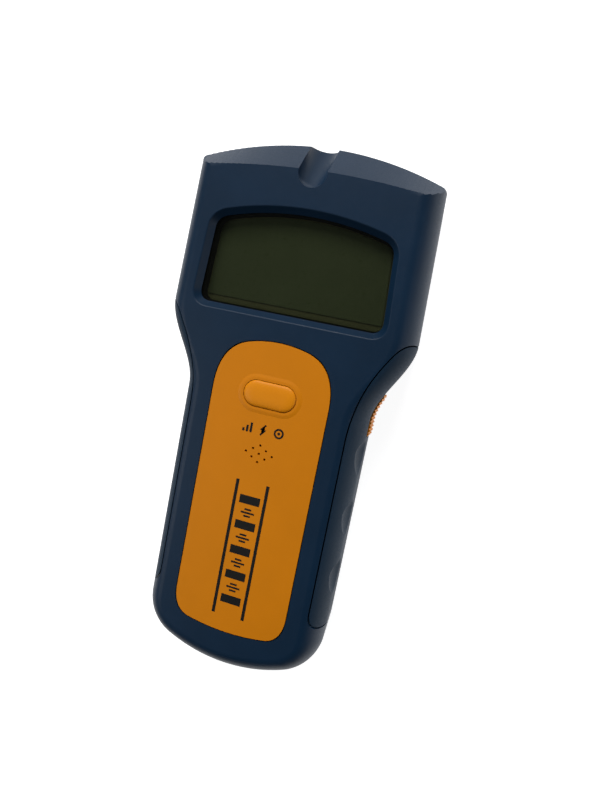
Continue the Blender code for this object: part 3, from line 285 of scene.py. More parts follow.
# %% Make the form and its two cutters
EDGE_RUN = 6.5 * MM
EDGE_DROP = 10 * MM
BACK_EDGE = 2 * MM
DRAFT = 0.1
FLAT_RIM = 0.6 * MM
BEVEL_RUN = 8.6 * MM
BEVEL_DROP = 8 * MM
CREASE_ARC = 235 * MM
NOTCH_RADIUS = 4.4 * MM
NOTCH_TILT = math.radians(38)
NOTCH_REACH = 13.6 * MM
NOTCH_LENGTH = 25 * MM
HALF_FACET = math.radians(3.6)


def form(name, inset=0.0, fine=True):
    front = 18 if fine else 6
    rings = []
    back = 8 if fine else 4
    for step in range(back):
        turn = math.pi / 2 * step / (back - 1)
        z = inset + BACK_EDGE * (1 - math.cos(turn))
        rings.append((BACK_EDGE * (1 - math.sin(turn)) + DRAFT * (TOP - EDGE_DROP - z), z))
    for step in range(front + 1):
        turn = math.pi / 2 * (1 - step / front)
        rings.append((EDGE_RUN * (1 - math.sin(turn)), TOP - inset - EDGE_DROP * (1 - math.cos(turn))))
    if fine:
        rings.insert(0, (rings[0][0] + FLAT_RIM, inset))
        rings.append((EDGE_RUN + FLAT_RIM, TOP - inset))
    return skin(name, [[(x, y, z) for x, y in tool_outline(inset + run)] for run, z in rings])


def end_slope(name, inset=0.0):
    """The face runs from a flat arc across the head to the rounder arc of its end."""
    far = 10 * MM
    rings = []
    for step in range(-24, 25):
        x = HEAD_HALF * 1.1 * step / 24
        end_y = END_Y - HEAD_ARC + math.sqrt(HEAD_ARC**2 - x**2)
        crease_y = END_Y - BEVEL_RUN - CREASE_ARC + math.sqrt(CREASE_ARC**2 - x**2)
        slope = BEVEL_DROP / (end_y - crease_y)
        low = TOP - BEVEL_DROP - inset * math.hypot(1, slope)
        ring = [(x, end_y - far, low + slope * far), (x, end_y + far, low - slope * far)]
        rings.append(ring + [(x, end_y + far, TOP + 2 * far), (x, end_y - far, TOP + 2 * far)])
    return skin(name, rings)


def groove(name, grow=0.0):
    """A rod with a ball end, tilted so that it runs out over the head's end."""
    deselect()
    radius = NOTCH_RADIUS + grow
    bpy.ops.mesh.primitive_uv_sphere_add(segments=50, ring_count=26, radius=radius)
    piece = bpy.context.object
    piece.name = name
    bpy.ops.object.mode_set(mode="EDIT")
    bpy.ops.mesh.select_all(action="SELECT")
    bpy.ops.mesh.bisect(plane_co=(0, 0, 0), plane_no=(0, 0, 1), clear_outer=True, use_fill=True)
    bpy.ops.mesh.extrude_region_move(TRANSFORM_OT_translate={"value": (0, 0, NOTCH_LENGTH)})
    bpy.ops.object.mode_set(mode="OBJECT")
    lean = Matrix.Rotation(-math.pi / 2 - NOTCH_TILT, 4, "X")
    ball = Matrix.Translation((0, END_Y - NOTCH_REACH + NOTCH_RADIUS, TOP))
    piece.data.transform(ball @ lean @ Matrix.Rotation(HALF_FACET, 4, "Z"))
    return piece


def whole(name):
    piece = form(name)
    return carve(piece, end_slope("slope"), groove("groove"))


# %% [markdown]
# ## Where the grips end
# Each grip is a wrap of soft rubber that lies in a shallow bed in the shells. Its seam starts at the head's
# corner, turns down the waist and runs straight along the handle. The same outline, grown by the gap, cuts
# the bed.

# %% Draw the grips' region and their beds
GRIP_THICKNESS = 2.2 * MM
SEAM_INSET = 4.4 * MM
SEAM_EASE = 32 * MM
SEAM_OPENING = 11.7 * MM
SEAM_POWER = 2.2
SEAM_CORNER = 6 * MM
SEAM_LEAN = 0.55
SEAM_END = 26 * MM
TAIL_BEND = 5 * MM
BEYOND = 6 * MM
GRIP_TAIL = -END_Y + 22 * MM


def seam_x(y):
    """Straight beside the handle, and in a curve that opens towards the head beside the waist."""
    share = min((CORNER_Y - y) / SEAM_EASE, 1.0)
    return HANDLE_HALF - SEAM_INSET + SEAM_OPENING * (1 - share) ** SEAM_POWER


def grip_outline(side, grow=0.0):
    seam = HANDLE_HALF - SEAM_INSET - grow
    top = CORNER_Y - GAP + grow
    tail = GRIP_TAIL - grow
    turn = CORNER_Y - SEAM_CORNER
    after = (seam_x(turn) - grow, turn)
    bend_x = after[0] + SEAM_LEAN * (top - turn)
    points = [(HEAD_HALF + BEYOND, top)] + bend((bend_x + BEYOND / 2, top), (bend_x, top), after, 14)
    for step in range(1, 28):
        y = turn - SEAM_END * step / 27
        points.append((seam_x(y) - grow, y))
    points += bend((seam, tail + TAIL_BEND), (seam, tail), (seam + TAIL_BEND, tail), 12)
    points.append((HEAD_HALF + BEYOND, tail))
    return [(side * x, y) for x, y in points]


def grip_region(name, side, grow=0.0):
    return plate(name, grip_outline(side, grow), GRIP_LOW.z - grow, TOP + 5 * MM)


def grip_bed(side):
    return carve(grip_region("bed", side, GAP * 0.9), form("core", GRIP_THICKNESS + GAP))


# %% [markdown]
# ## The room inside
# A moulded shell is a wall of even thickness, so the same form, moved inwards, is what is cut out of it.
# The handle's room is smaller than the head's because the grips' beds are in its sides. The head's room
# stops below the window, and the handle's has a floor of its own.

# %% Draw the rooms
WINDOW_TOP = END_Y - 19.7 * MM
WINDOW_BOTTOM = LENS_LOW.y
WINDOW_HALF = HEAD_HALF - 8.8 * MM
WINDOW_ARC = 90 * MM
WINDOW_TAPER = 1.2 * MM
WINDOW_CORNER = 5 * MM
RIM_RUN = 1.6 * MM


def slab(name, low, high):
    return block(name, (-2 * HEAD_HALF, -2 * END_Y, low), (2 * HEAD_HALF, 2 * END_Y, high))


def rooms():
    far = 2 * END_Y
    join_y = CORNER_Y + 1 * MM
    half = WINDOW_HALF + RIM_RUN
    foot = WINDOW_BOTTOM - WALL
    guide = [(far, far), (-far, far), (-far, join_y), (-half, join_y), (-half, foot), (half, foot)]
    guide += [(half, join_y), (far, join_y)]
    head = boolean(form("head_room", WALL, False), plate("guide", guide, -far, far), "INTERSECT")
    carve(head, end_slope("inner_slope", WALL), groove("inner_groove", WALL))
    handle = form("handle_room", SHELL_CORE, False)
    boolean(handle, block("guide", (-far, -far, -far), (far, join_y + GAP, far)), "INTERSECT")
    floor = form("floor_room", SHELL_CORE, False)
    floor.data.transform(Matrix.Translation((0, 0, HANDLE_FLOOR - SHELL_CORE)))
    boolean(floor, block("guide", (-far, -far, -far), (far, join_y, 8 * MM)), "INTERSECT")
    return head, handle, floor


# %% [markdown]
# ## The display's window
# The window is straight below and slightly arched above. Its rim rolls over from the face and slopes
# inwards, which is what catches the light along the lower edge.

# %% Draw the window
def window_outline(inset, fine=4):
    bottom = WINDOW_BOTTOM + inset
    low_half = WINDOW_HALF - inset
    high_half = low_half - WINDOW_TAPER
    radius = WINDOW_ARC - inset
    centre = WINDOW_TOP - WINDOW_ARC
    corner_y = centre + math.sqrt(radius**2 - high_half**2)
    corner = max(WINDOW_CORNER - inset, 1 * MM)
    last = math.asin((high_half - corner) / radius)
    half = arc((0, centre), radius, math.pi / 2, math.pi / 2 - last, 6 * fine)
    below = (high_half + 0.1 * MM, corner_y - corner)
    half += bend(half[-1], (high_half, corner_y), below, 4 * fine)[1:]
    half += bend((low_half, bottom + corner), (low_half, bottom), (low_half - corner, bottom), 4 * fine)
    half.append((0.0, bottom))
    return both_sides(half)


def window_cutter():
    """Rings that follow the rolled rim from above the face down through the wall."""
    roll = 0.42 * MM
    levels = [(-2.0 * MM, 3 * MM), (-0.5 * MM, 0.5 * MM), (-roll, 0.0)]
    for turn in (math.radians(15 * step) for step in range(1, 5)):
        levels.append((-roll + 0.5 * MM * math.sin(turn), -roll * (1 - math.cos(turn))))
    levels += [(RIM_RUN - 0.35 * MM, -WALL + 0.35 * MM), (RIM_RUN - 0.1 * MM, -WALL + 0.12 * MM)]
    levels += [(RIM_RUN, -WALL), (RIM_RUN, -2.5 * WALL)]
    return skin("window", [[(x, y, TOP + z) for x, y in window_outline(inset)] for inset, z in levels])


# %% [markdown]
# ## The amber panel's outline, and the slot for its key

# %% Draw the panel and the key
FASCIA_HALF = FASCIA_HIGH.x
FASCIA_SAG = 1.2 * MM
FASCIA_CORNERS = (13 * MM, 8 * MM)
CORNER_REACH = 0.72
SELECT_Y = (SELECT_LOW.y + SELECT_HIGH.y) / 2
SELECT_LONG = 16.5 * MM
SELECT_WIDE = 7.9 * MM
SIDE_LAP = 1 * MM
SOUND_Y = (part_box("buzzer")[0][1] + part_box("buzzer")[1][1]) / 2


def fascia_outline(grow=0.0, fine=4):
    wide = FASCIA_HALF + grow
    half = []
    ends = zip((1, -1), (FASCIA_HIGH.y + grow, FASCIA_LOW.y - grow), FASCIA_CORNERS)
    count = 4 * fine
    for sign, end_y, corner in ends:
        inner = wide - corner * CORNER_REACH
        curve = []
        for share in (step / count for step in range(count + 1)):
            curve.append((inner * share, end_y - sign * FASCIA_SAG * share**2))
        drop = sign * FASCIA_SAG * (1 + 2 * corner * CORNER_REACH / inner)
        turn = bend(curve[-1], (wide, end_y - drop), (wide, end_y - drop - sign * corner), 7 * fine)[1:]
        half += (curve + turn) if sign > 0 else (curve + turn)[::-1]
    return both_sides(half)


def obround(long, wide, centre_y, count=25):
    radius = wide / 2
    reach = long / 2 - radius
    right = arc((reach, centre_y), radius, -math.pi / 2, math.pi / 2, count)
    return right + arc((-reach, centre_y), radius, math.pi / 2, 3 * math.pi / 2, count)


def side_slot():
    low = (SIDE_HIGH.x - 18 * MM, SIDE_LOW.y + SIDE_LAP - GAP, SIDE_LOW.z + SIDE_LAP - GAP)
    high = (SIDE_HIGH.x + 9 * MM, SIDE_HIGH.y - SIDE_LAP + GAP, SIDE_HIGH.z - SIDE_LAP + GAP)
    return block("slot", low, high)


# %% [markdown]
# ## Plastic, rubber and metal
# Moulded plastic is never one flat colour: spark-eroded moulds leave a fine grain, and the sheen varies
# where hands have been. One helper builds that from two noises; each finish names its own tones.

# %% A moulded finish
def linked(tree, kind, **inputs):
    node = tree.nodes.new(kind)
    for name, value in inputs.items():
        socket = node.inputs[name.replace("_", " ")]
        if hasattr(value, "is_output"):
            tree.links.new(value, socket)
        else:
            socket.default_value = value
    return node


def ramp(tree, source, dark, light, low=0.3, high=0.7):
    node = tree.nodes.new("ShaderNodeValToRGB")
    node.color_ramp.elements[0].position = low
    node.color_ramp.elements[1].position = high
    node.color_ramp.elements[0].color = (*dark, 1)
    node.color_ramp.elements[1].color = (*light, 1)
    tree.links.new(source, node.inputs["Fac"])
    return node


def moulded(name, dark, light, rough, grain=2600, depth=0.02 * MM, metal=0.0, span=0.08, gloss=0.18):
    """A material with mottled colour, varying sheen and fine grain."""
    made = bpy.data.materials.new(name)
    made.use_nodes = True
    tree = made.node_tree
    shader = tree.nodes["Principled BSDF"]
    place = tree.nodes.new("ShaderNodeTexCoord").outputs["Object"]
    broad = linked(tree, "ShaderNodeTexNoise", Vector=place, Scale=55.0, Detail=4.0, Roughness=0.6)
    fine = linked(tree, "ShaderNodeTexNoise", Vector=place, Scale=float(grain), Detail=3.0, Roughness=0.65)
    colour = ramp(tree, broad.outputs["Fac"], dark, light)
    tree.links.new(colour.outputs["Color"], shader.inputs["Base Color"])
    low, high = rough - span, rough + span
    sheen = ramp(tree, fine.outputs["Fac"], (low, low, low), (high, high, high))
    tree.links.new(sheen.outputs["Color"], shader.inputs["Roughness"])
    shader.inputs["Metallic"].default_value = metal
    shader.inputs["Specular IOR Level"].default_value = gloss
    bump = linked(tree, "ShaderNodeBump", Strength=0.5, Distance=depth, Height=fine.outputs["Fac"])
    tree.links.new(bump.outputs["Normal"], shader.inputs["Normal"])
    return made


NAVY = moulded("navy_shell", (0.002, 0.0145, 0.036), (0.0028, 0.0175, 0.043), 0.44, gloss=0.22)
RUBBER_TONES = (0.003, 0.0165, 0.036), (0.004, 0.02, 0.043)
RUBBER = moulded("grip_rubber", *RUBBER_TONES, 0.6, grain=1900, depth=0.03 * MM)
AMBER = moulded("amber_panel", (0.56, 0.178, 0.0), (0.6, 0.19, 0.0), 0.5, depth=0.014 * MM)
AMBER_KEY = moulded("amber_button", (0.66, 0.215, 0.002), (0.7, 0.235, 0.003), 0.45, depth=0.012 * MM)
BLACK = moulded("black_plastic", (0.006, 0.006, 0.007), (0.011, 0.011, 0.012), 0.5)
INK_TONES = (0.005, 0.005, 0.005), (0.009, 0.008, 0.007)
INK = moulded("black_ink", *INK_TONES, 0.55, grain=4000, depth=0.004 * MM)
BOARD = moulded("circuit_board", (0.006, 0.075, 0.022), (0.01, 0.11, 0.035), 0.35, grain=900)
COPPER = moulded("copper", (0.62, 0.24, 0.11), (0.8, 0.36, 0.19), 0.3, metal=1.0)
STEEL = moulded("steel", (0.5, 0.5, 0.52), (0.66, 0.66, 0.68), 0.32, metal=1.0, depth=0.008 * MM)
JACKET = moulded("battery_case", (0.02, 0.02, 0.023), (0.035, 0.035, 0.04), 0.3)
FOAM = moulded("foam", (0.03, 0.03, 0.032), (0.06, 0.06, 0.062), 0.92, grain=1200, depth=0.12 * MM)
RED = moulded("red_sleeve", (0.38, 0.008, 0.008), (0.5, 0.014, 0.012), 0.38)
WHITE = moulded("white_plastic", (0.62, 0.61, 0.57), (0.72, 0.71, 0.67), 0.45)
SLEEVE = moulded("capacitor_sleeve", (0.015, 0.022, 0.08), (0.025, 0.034, 0.11), 0.3)
print("finishes:", len([m for m in bpy.data.materials if m.use_nodes]))

# %% [markdown]
# ## Glass and liquid crystal
# The lens is a clear sheet that mirrors a little; the blank liquid crystal behind it is a dull olive with a
# faint mottle. The lens lets light through by its alpha, so the panel behind it is lit and not left
# black.

# %% The display's finishes
def clear_lens():
    made = bpy.data.materials.new("clear_lens")
    made.use_nodes = True
    tree = made.node_tree
    shader = tree.nodes["Principled BSDF"]
    shader.inputs["Alpha"].default_value = 0.3
    shader.inputs["IOR"].default_value = 1.49
    place = tree.nodes.new("ShaderNodeTexCoord").outputs["Object"]
    haze = linked(tree, "ShaderNodeTexNoise", Vector=place, Scale=90.0, Detail=5.0)
    tint = ramp(tree, haze.outputs["Fac"], (0.002, 0.0025, 0.0012), (0.004, 0.0045, 0.0025))
    tree.links.new(tint.outputs["Color"], shader.inputs["Base Color"])
    wiped = ramp(tree, haze.outputs["Fac"], (0.06, 0.06, 0.06), (0.16, 0.16, 0.16))
    tree.links.new(wiped.outputs["Color"], shader.inputs["Roughness"])
    return made


def olive_crystal(name, dark, light):
    return moulded(name, dark, light, 0.3, grain=700, depth=0.0, span=0.04)


LENS = clear_lens()
CRYSTAL = olive_crystal("lcd_glass", (0.07, 0.09, 0.037), (0.078, 0.1, 0.042))
CRYSTAL_EDGE = olive_crystal("lcd_edge", (0.09, 0.1, 0.04), (0.1, 0.11, 0.045))


def dress(piece, finish, slot, body="housing", *nodes):
    """Gives a finished piece its material, its body and the designed nodes that it stands for."""
    piece.data.materials.clear()
    piece.data.materials.append(finish)
    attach(piece, body)
    if nodes:
        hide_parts(*nodes)
    print(f"{piece.name}: {len(piece.data.polygons)} faces")
    return piece


# %% [markdown]
# ## The front shell
# It keeps the form above the parting plane, loses the grips' beds, the rooms, the panel's recess, the
# window and the holes for the keys and the sound, and then has its crisp edges rounded.

# %% Model the front shell
def middle_of(node):
    low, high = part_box(node)
    return (low[0] + high[0]) / 2, (low[1] + high[1]) / 2


SCREWS = [middle_of("case_screw_1"), middle_of("case_screw_3")]


def both(places):
    return [(side * x, y) for x, y in places for side in (1, -1)]


def front_shell():
    piece = boolean(whole("case_front"), slab("upper", SPLIT_Z + GAP / 4, 2 * TOP), "INTERSECT")
    carve(piece, grip_bed(1), grip_bed(-1), *rooms())
    recess = FASCIA_LOW.z - GAP
    carve(piece, plate("recess", fascia_outline(GAP * 0.8), recess, 2 * TOP), window_cutter())
    key_hole = obround(SELECT_LONG + 2 * GAP, SELECT_WIDE + 2 * GAP, SELECT_Y)
    carve(piece, plate("key_hole", key_hole, SPLIT_Z, 2 * TOP))
    carve(piece, rod("well", (0, SOUND_Y), 5 * MM, SPLIT_Z + 5 * MM, 2 * TOP), side_slot())
    soften(piece, 0.3 * MM, 4)
    return dress(piece, NAVY, "navy_shell", "housing", "front_shell")


front_shell()

# %% [markdown]
# ## The rear shell
# The back is a plain flat face with a door's opening and four screw wells. Walls round the bay hold the
# battery.

# %% Model the rear shell
BAY_HALF = 14 * MM
BAY_WALL = 2.2 * MM
LUG_X = 11.3 * MM
WELL_RADIUS = 2.7 * MM
WELL_DEPTH = 6.1 * MM
BOSS_WALL = 0.9 * MM
BOSS_TOP = 8.6 * MM


def rear_shell():
    piece = boolean(whole("case_rear"), slab("lower", -TOP, SPLIT_Z - GAP / 4), "INTERSECT")
    carve(piece, grip_bed(1), grip_bed(-1), *rooms())
    bay_tail, bay_head = DOOR_LOW.y + 1.2 * MM, DOOR_HIGH.y + GAP
    outer = BAY_HALF + BAY_WALL
    walls = block("bay", (-outer, bay_tail - 1 * MM, 1 * MM), (outer, bay_head + BAY_WALL, SPLIT_Z - GAP))
    boolean(piece, walls, "UNION")
    carve(piece, block("bay_room", (-BAY_HALF, bay_tail + 0.3 * MM, -TOP), (BAY_HALF, bay_head, TOP)))
    low = (DOOR_LOW.x - GAP, DOOR_LOW.y + 1.5 * MM, -TOP)
    carve(piece, block("door_hole", low, (DOOR_HIGH.x + GAP, bay_head, HANDLE_FLOOR)))
    for side in (1, -1):
        middle = side * LUG_X
        reach = (middle - 2.8 * MM, DOOR_LOW.y - 1 * MM, HANDLE_FLOOR)
        carve(piece, block("lug_room", reach, (middle + 2.8 * MM, bay_tail + 1 * MM, 5.6 * MM)))
    latch_low = (-4.8 * MM, bay_head - GAP, 1.9 * MM)
    carve(piece, block("latch_room", latch_low, (4.8 * MM, bay_head + 0.9 * MM, 8 * MM)))
    for place in both(SCREWS):
        boolean(piece, rod("boss", place, WELL_RADIUS + BOSS_WALL, 1 * MM, BOSS_TOP), "UNION")
        carve(piece, rod("well", place, WELL_RADIUS, -TOP, WELL_DEPTH))
        carve(piece, rod("hole", place, 1.5 * MM, -TOP, TOP, 20))
    soften(piece, 0.22 * MM)
    return dress(piece, NAVY, "navy_shell", "housing", "rear_shell")


rear_shell()

# %% [markdown]
# ## The grips
# Each wrap is the form inside its region, hollowed by the core. Three finger dips are scooped out of the
# side, steep towards the head and shallow towards the tail, so an egg-shaped cutter leans into the rubber.

# %% Model the grips
DIP_YS = [END_Y - (88.8 + 19.1 * step) * MM for step in range(3)]
DIP_HEAD_REACH = 4.4
DIP_TAIL_REACH = 9.5
DIP_WIDTH = 4.2 * MM
DIP_HEIGHT = 9.5 * MM
DIP_OFFSET = 2.35 * MM
DIP_SHIFT = 2.4 * MM
DIP_LEVEL = 20.8 * MM


def dip(y, side):
    deselect()
    bpy.ops.mesh.primitive_uv_sphere_add(segments=48, ring_count=32, radius=1)
    piece = bpy.context.object
    piece.name = "dip"
    for vertex in piece.data.vertices:
        vertex.co.y *= DIP_HEAD_REACH if vertex.co.y > 0 else DIP_TAIL_REACH
    piece.data.transform(Matrix.Diagonal((DIP_WIDTH, 1 * MM, DIP_HEIGHT, 1)))
    x = side * (side_x(y) + DIP_OFFSET)
    swing = Matrix.Rotation(side * math.radians(4), 4, "Z")
    lean = swing @ Matrix.Rotation(-side * math.radians(5), 4, "Y")
    piece.data.transform(Matrix.Translation((x, y + DIP_SHIFT, DIP_LEVEL)) @ lean)
    return piece


def grip(name, side, node):
    piece = boolean(whole(name), grip_region("region", side, -GAP * 0.4), "INTERSECT")
    carve(piece, form("core", GRIP_THICKNESS), *[dip(y, side) for y in DIP_YS])
    if side > 0:
        carve(piece, side_slot())
    soften(piece, 0.3 * MM, degrees=30)
    return dress(piece, RUBBER, "grip_rubber", "housing", node)


grip("grip_right", 1, "right_grip")
grip("grip_left", -1, "left_grip")

# %% [markdown]
# ## The amber panel
# A thin inlay that lies flush in its recess. A low lip is raised round the key, and nine small holes in a
# lozenge let the buzzer's sound out.

# %% Model the panel
HOLE_PITCH = 2.1 * MM
HOLE_ROW = 1.3 * MM
HOLE_RADIUS = 0.38 * MM


def sound_holes():
    cutters = []
    for row in (-1, 0, 1):
        for column in (-1, 0, 1):
            place = (HOLE_PITCH * (row + column), SOUND_Y + HOLE_ROW * (row - column))
            cutters.append(rod("sound", place, HOLE_RADIUS, 0, 2 * TOP, 16))
    return cutters


def key_rings(levels):
    """The key's outline, moved outwards by the first number of each level and set at the second."""
    rings = []
    for grow, z in levels:
        outline = obround(SELECT_LONG + 2 * grow, SELECT_WIDE + 2 * grow, SELECT_Y)
        rings.append([(x, y, z) for x, y in outline])
    return rings


def key_lip():
    """A low ring round the key: obrounds that rise, run flat and fall away outwards."""
    levels = [(2.1 * MM, -0.3 * MM), (1.9 * MM, 0.0), (1.2 * MM, 0.16 * MM)]
    levels += [(0.8 * MM, 0.2 * MM), (0.2 * MM, 0.2 * MM)]
    return skin("lip", key_rings([(grow, TOP + z) for grow, z in levels]))


def panel():
    piece = plate("front_panel", fascia_outline(-GAP * 0.1), FASCIA_LOW.z, TOP)
    boolean(piece, key_lip(), "UNION")
    key_hole = plate("key_hole", obround(SELECT_LONG + GAP, SELECT_WIDE + GAP, SELECT_Y), 0, 2 * TOP)
    carve(piece, key_hole, *sound_holes())
    soften(piece, 0.16 * MM)
    return dress(piece, AMBER, "amber_panel", "housing", "fascia_panel")


panel()

# %% [markdown]
# ## The keys
# The front key is a pillow: its rings shrink quickly at the edge and slowly near the middle. The side key
# follows the waist and carries fine upright ribs, and its flange and stem stay as designed.

# %% Model the keys
FLANGE = 1.5 * MM
FLANGE_THICKNESS = 1.1 * MM
PILLOW_RUN = 3.3 * MM
PILLOW_POWER = 1.25
RIBS = 11
RIB_STEPS = 12
RIB_DEPTH = 0.4 * MM
SIDE_SEAT = SHELL_CORE + 0.8 * MM
SIDE_FLANGE = 1.2 * MM
STEM_HALF = 1.6 * MM


def front_key():
    low = SELECT_LOW.z
    high = low + FLANGE_THICKNESS
    levels = [(FLANGE, low), (FLANGE, high), (0, high), (0, TOP)]
    rise = SELECT_HIGH.z - TOP
    for step in range(1, 10):
        turn = math.pi / 2 * step / 9
        levels.append((-PILLOW_RUN * (1 - math.cos(turn)) ** PILLOW_POWER, TOP + rise * math.sin(turn)))
    piece = soften(skin("select_key", key_rings(levels)), 0.15 * MM, degrees=50)
    return dress(piece, AMBER_KEY, "amber_button", "select_button", "select_button")


def side_key():
    low_y, high_y = SIDE_LOW.y + SIDE_LAP, SIDE_HIGH.y - SIDE_LAP
    middle = (low_y + high_y) / 2
    count = RIBS * RIB_STEPS
    face = []
    for step in range(count + 1):
        y = low_y + (high_y - low_y) * step / count
        along = step / count
        wave = 0.5 - 0.5 * math.cos(2 * math.pi * step / RIB_STEPS)
        shoulder = min(1.0, min(along, 1 - along) * 14)
        face.append((side_x(y) + 0.05 * MM + shoulder * (0.15 * MM + RIB_DEPTH * wave), y))
    back = [(side_x(y) - SIDE_SEAT - 0.4 * MM, y) for y in (high_y, middle, low_y)]
    piece = plate("side_key", face + back, SIDE_LOW.z + SIDE_LAP, SIDE_HIGH.z - SIDE_LAP)
    ys = [SIDE_LOW.y + (SIDE_HIGH.y - SIDE_LOW.y) * step / 10 for step in range(11)]
    flange = [(side_x(y) - SIDE_SEAT, y) for y in ys]
    flange += [(side_x(y) - SIDE_SEAT - SIDE_FLANGE, y) for y in reversed(ys)]
    boolean(piece, plate("flange", flange, SIDE_LOW.z, SIDE_HIGH.z), "UNION")
    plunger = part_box("side_switch_plunger")
    stem_z = (plunger[0][2] + plunger[1][2]) / 2
    stem_low = (SIDE_LOW.x, middle - STEM_HALF, stem_z - STEM_HALF)
    stem_high = (side_x(middle) - SIDE_SEAT - SIDE_FLANGE / 2, middle + STEM_HALF, stem_z + STEM_HALF)
    boolean(piece, block("stem", stem_low, stem_high), "UNION")
    soften(piece, 0.12 * MM, 2, 50)
    return dress(piece, AMBER_KEY, "amber_button", "side_button", "side_button")


front_key()
side_key()

# %% [markdown]
# ## The display
# The lens gets a small edge bevel. A thin polariser lies on the crystal and stops short of its lower edge,
# which shows as a paler line. The frame round it is black, so it reads as a shadow inside the rim.

# %% Model the display
def display():
    lens = plate("display_window", window_outline(0.0), LENS_LOW.z, LENS_HIGH.z)
    soften(lens, 0.12 * MM, 2)
    dress(lens, LENS, "clear_lens", "housing", "display_lens")
    low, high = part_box("lcd_panel")
    sheet_outline = [(x, max(y, low[1] + 1.9 * MM)) for x, y in window_outline(RIM_RUN + 0.9 * MM)]
    sheet = plate("polariser", sheet_outline, high[2] + 0.05 * MM, high[2] + 0.3 * MM)
    soften(sheet, 0.05 * MM, 2)
    return dress(sheet, CRYSTAL, "lcd_glass")


display()

# %% [markdown]
# ## The marks
# Black ink lies on the panel as very thin plates: two long rules with a ladder of bars between them, and
# three small signs under the key: rising bars, a spark and a ring with a dot. They are plain signs and not
# letters.

# %% Print the marks
INK_LOW = TOP + 0.01 * MM
INK_HIGH = TOP + 0.045 * MM


def ink(name, shapes):
    """Joins flat outlines into one printed mark."""
    parts = [plate(name, shape, INK_LOW, INK_HIGH) for shape in shapes]
    deselect()
    for part in parts:
        part.select_set(True)
    bpy.context.view_layer.objects.active = parts[0]
    if len(parts) > 1:
        bpy.ops.object.join()
    parts[0].name = name
    return dress(parts[0], INK, "black_plastic")


def bar(x0, y0, x1, y1):
    return [(x0 * MM, y0 * MM), (x1 * MM, y0 * MM), (x1 * MM, y1 * MM), (x0 * MM, y1 * MM)]


def stroke(points, width):
    """An open line drawn as one plate with square ends."""
    left, right = [], []
    for index, point in enumerate(points):
        before = Vector(points[max(index - 1, 0)])
        after = Vector(points[min(index + 1, len(points) - 1)])
        along = (after - before).normalized()
        across = Vector((-along.y, along.x)) * width / 2
        left.append(tuple((Vector(point) + across) * MM))
        right.append(tuple((Vector(point) - across) * MM))
    return left + right[::-1]


def rules_and_ladder():
    shapes = [bar(-5.4, -63.3, -4.4, -19.8), bar(4.4, -63.3, 5.4, -19.8)]
    for step in range(5):
        y = -25.5 - 8.1 * step
        shapes.append(bar(-3.3, y - 1.3, 3.3, y + 1.3))
        if step < 4:
            for offset, half in ((-3.0, 1.1), (-4.05, 2.2), (-5.1, 1.1)):
                shapes.append(bar(-half, y + offset - 0.28, half, y + offset + 0.28))
    return ink("rules_and_ladder", shapes)


def three_signs():
    y = -3.4
    heights = ((-6.6, -0.5), (-5.4, 0.5), (-4.2, 1.5))
    stairs = [bar(x, y - 1.5, x + 0.7, y + height) for x, height in heights]
    spark = [stroke([(0.7, y + 1.6), (-0.8, y - 0.05), (0.7, y + 0.05), (-0.7, y - 1.6)], 0.55)]
    centre = (5.0 * MM, y * MM)
    ring = [arc(centre, 0.45 * MM, 0, 2 * math.pi, 20)[:-1]]
    for start in (0, math.pi):
        outer = arc(centre, 1.55 * MM, start, start + math.pi, 20)
        inner = arc(centre, 1.0 * MM, start + math.pi, start, 20)
        ring.append(outer + inner)
    return ink("three_signs", stairs + spark + ring)


rules_and_ladder()
three_signs()

# %% [markdown]
# ## The battery door
# The door lies just inside the back face. It has two lugs at the tail, a spring tab at the other end and a
# patch of grip ribs for the thumb, and a soft arrow pressed into it to show which way it opens.

# %% Model the door
def battery_door():
    tail = DOOR_LOW.y + 1.8 * MM
    recess, top = DOOR_LOW.z, DOOR_LOW.z + 1.7 * MM
    piece = block("door", (DOOR_LOW.x, tail, recess), (DOOR_HIGH.x, DOOR_HIGH.y, top))
    for side in (1, -1):
        middle = side * LUG_X
        arm = [(tail + 2 * MM, top - 0.4 * MM), (tail + 2 * MM, 3.4 * MM), (DOOR_LOW.y, 3.4 * MM)]
        arm += [(DOOR_LOW.y, 2.5 * MM), (tail + 0.6 * MM, 2.5 * MM), (tail + 0.6 * MM, top - 0.4 * MM)]
        rings = [[(x, y, z) for y, z in arm] for x in (middle - 2.5 * MM, middle + 2.5 * MM)]
        boolean(piece, skin("lug", rings), "UNION")
    tab_low = (-4.5 * MM, DOOR_HIGH.y - 1.1 * MM, top - 0.4 * MM)
    boolean(piece, block("tab", tab_low, (4.5 * MM, DOOR_HIGH.y, DOOR_HIGH.z)), "UNION")
    for step in range(7):
        y = DOOR_HIGH.y - 4 * MM - 1.6 * MM * step
        rib_high = (7 * MM, y + 0.4 * MM, recess + 0.45 * MM)
        carve(piece, block("rib", (-7 * MM, y - 0.4 * MM, -1 * MM), rib_high))
    base_y, tip_y = DOOR_HIGH.y - 18 * MM, DOOR_HIGH.y - 22 * MM
    arrow = [(-3 * MM, base_y), (0, tip_y), (3 * MM, base_y)]
    carve(piece, plate("arrow", arrow, -1 * MM, recess + 0.35 * MM))
    soften(piece, 0.2 * MM)
    return dress(piece, NAVY, "navy_shell", "battery_door", "battery_door")


battery_door()

# %% [markdown]
# ## What the shells hold
# The designed pieces inside keep their shape and only get their finishes.

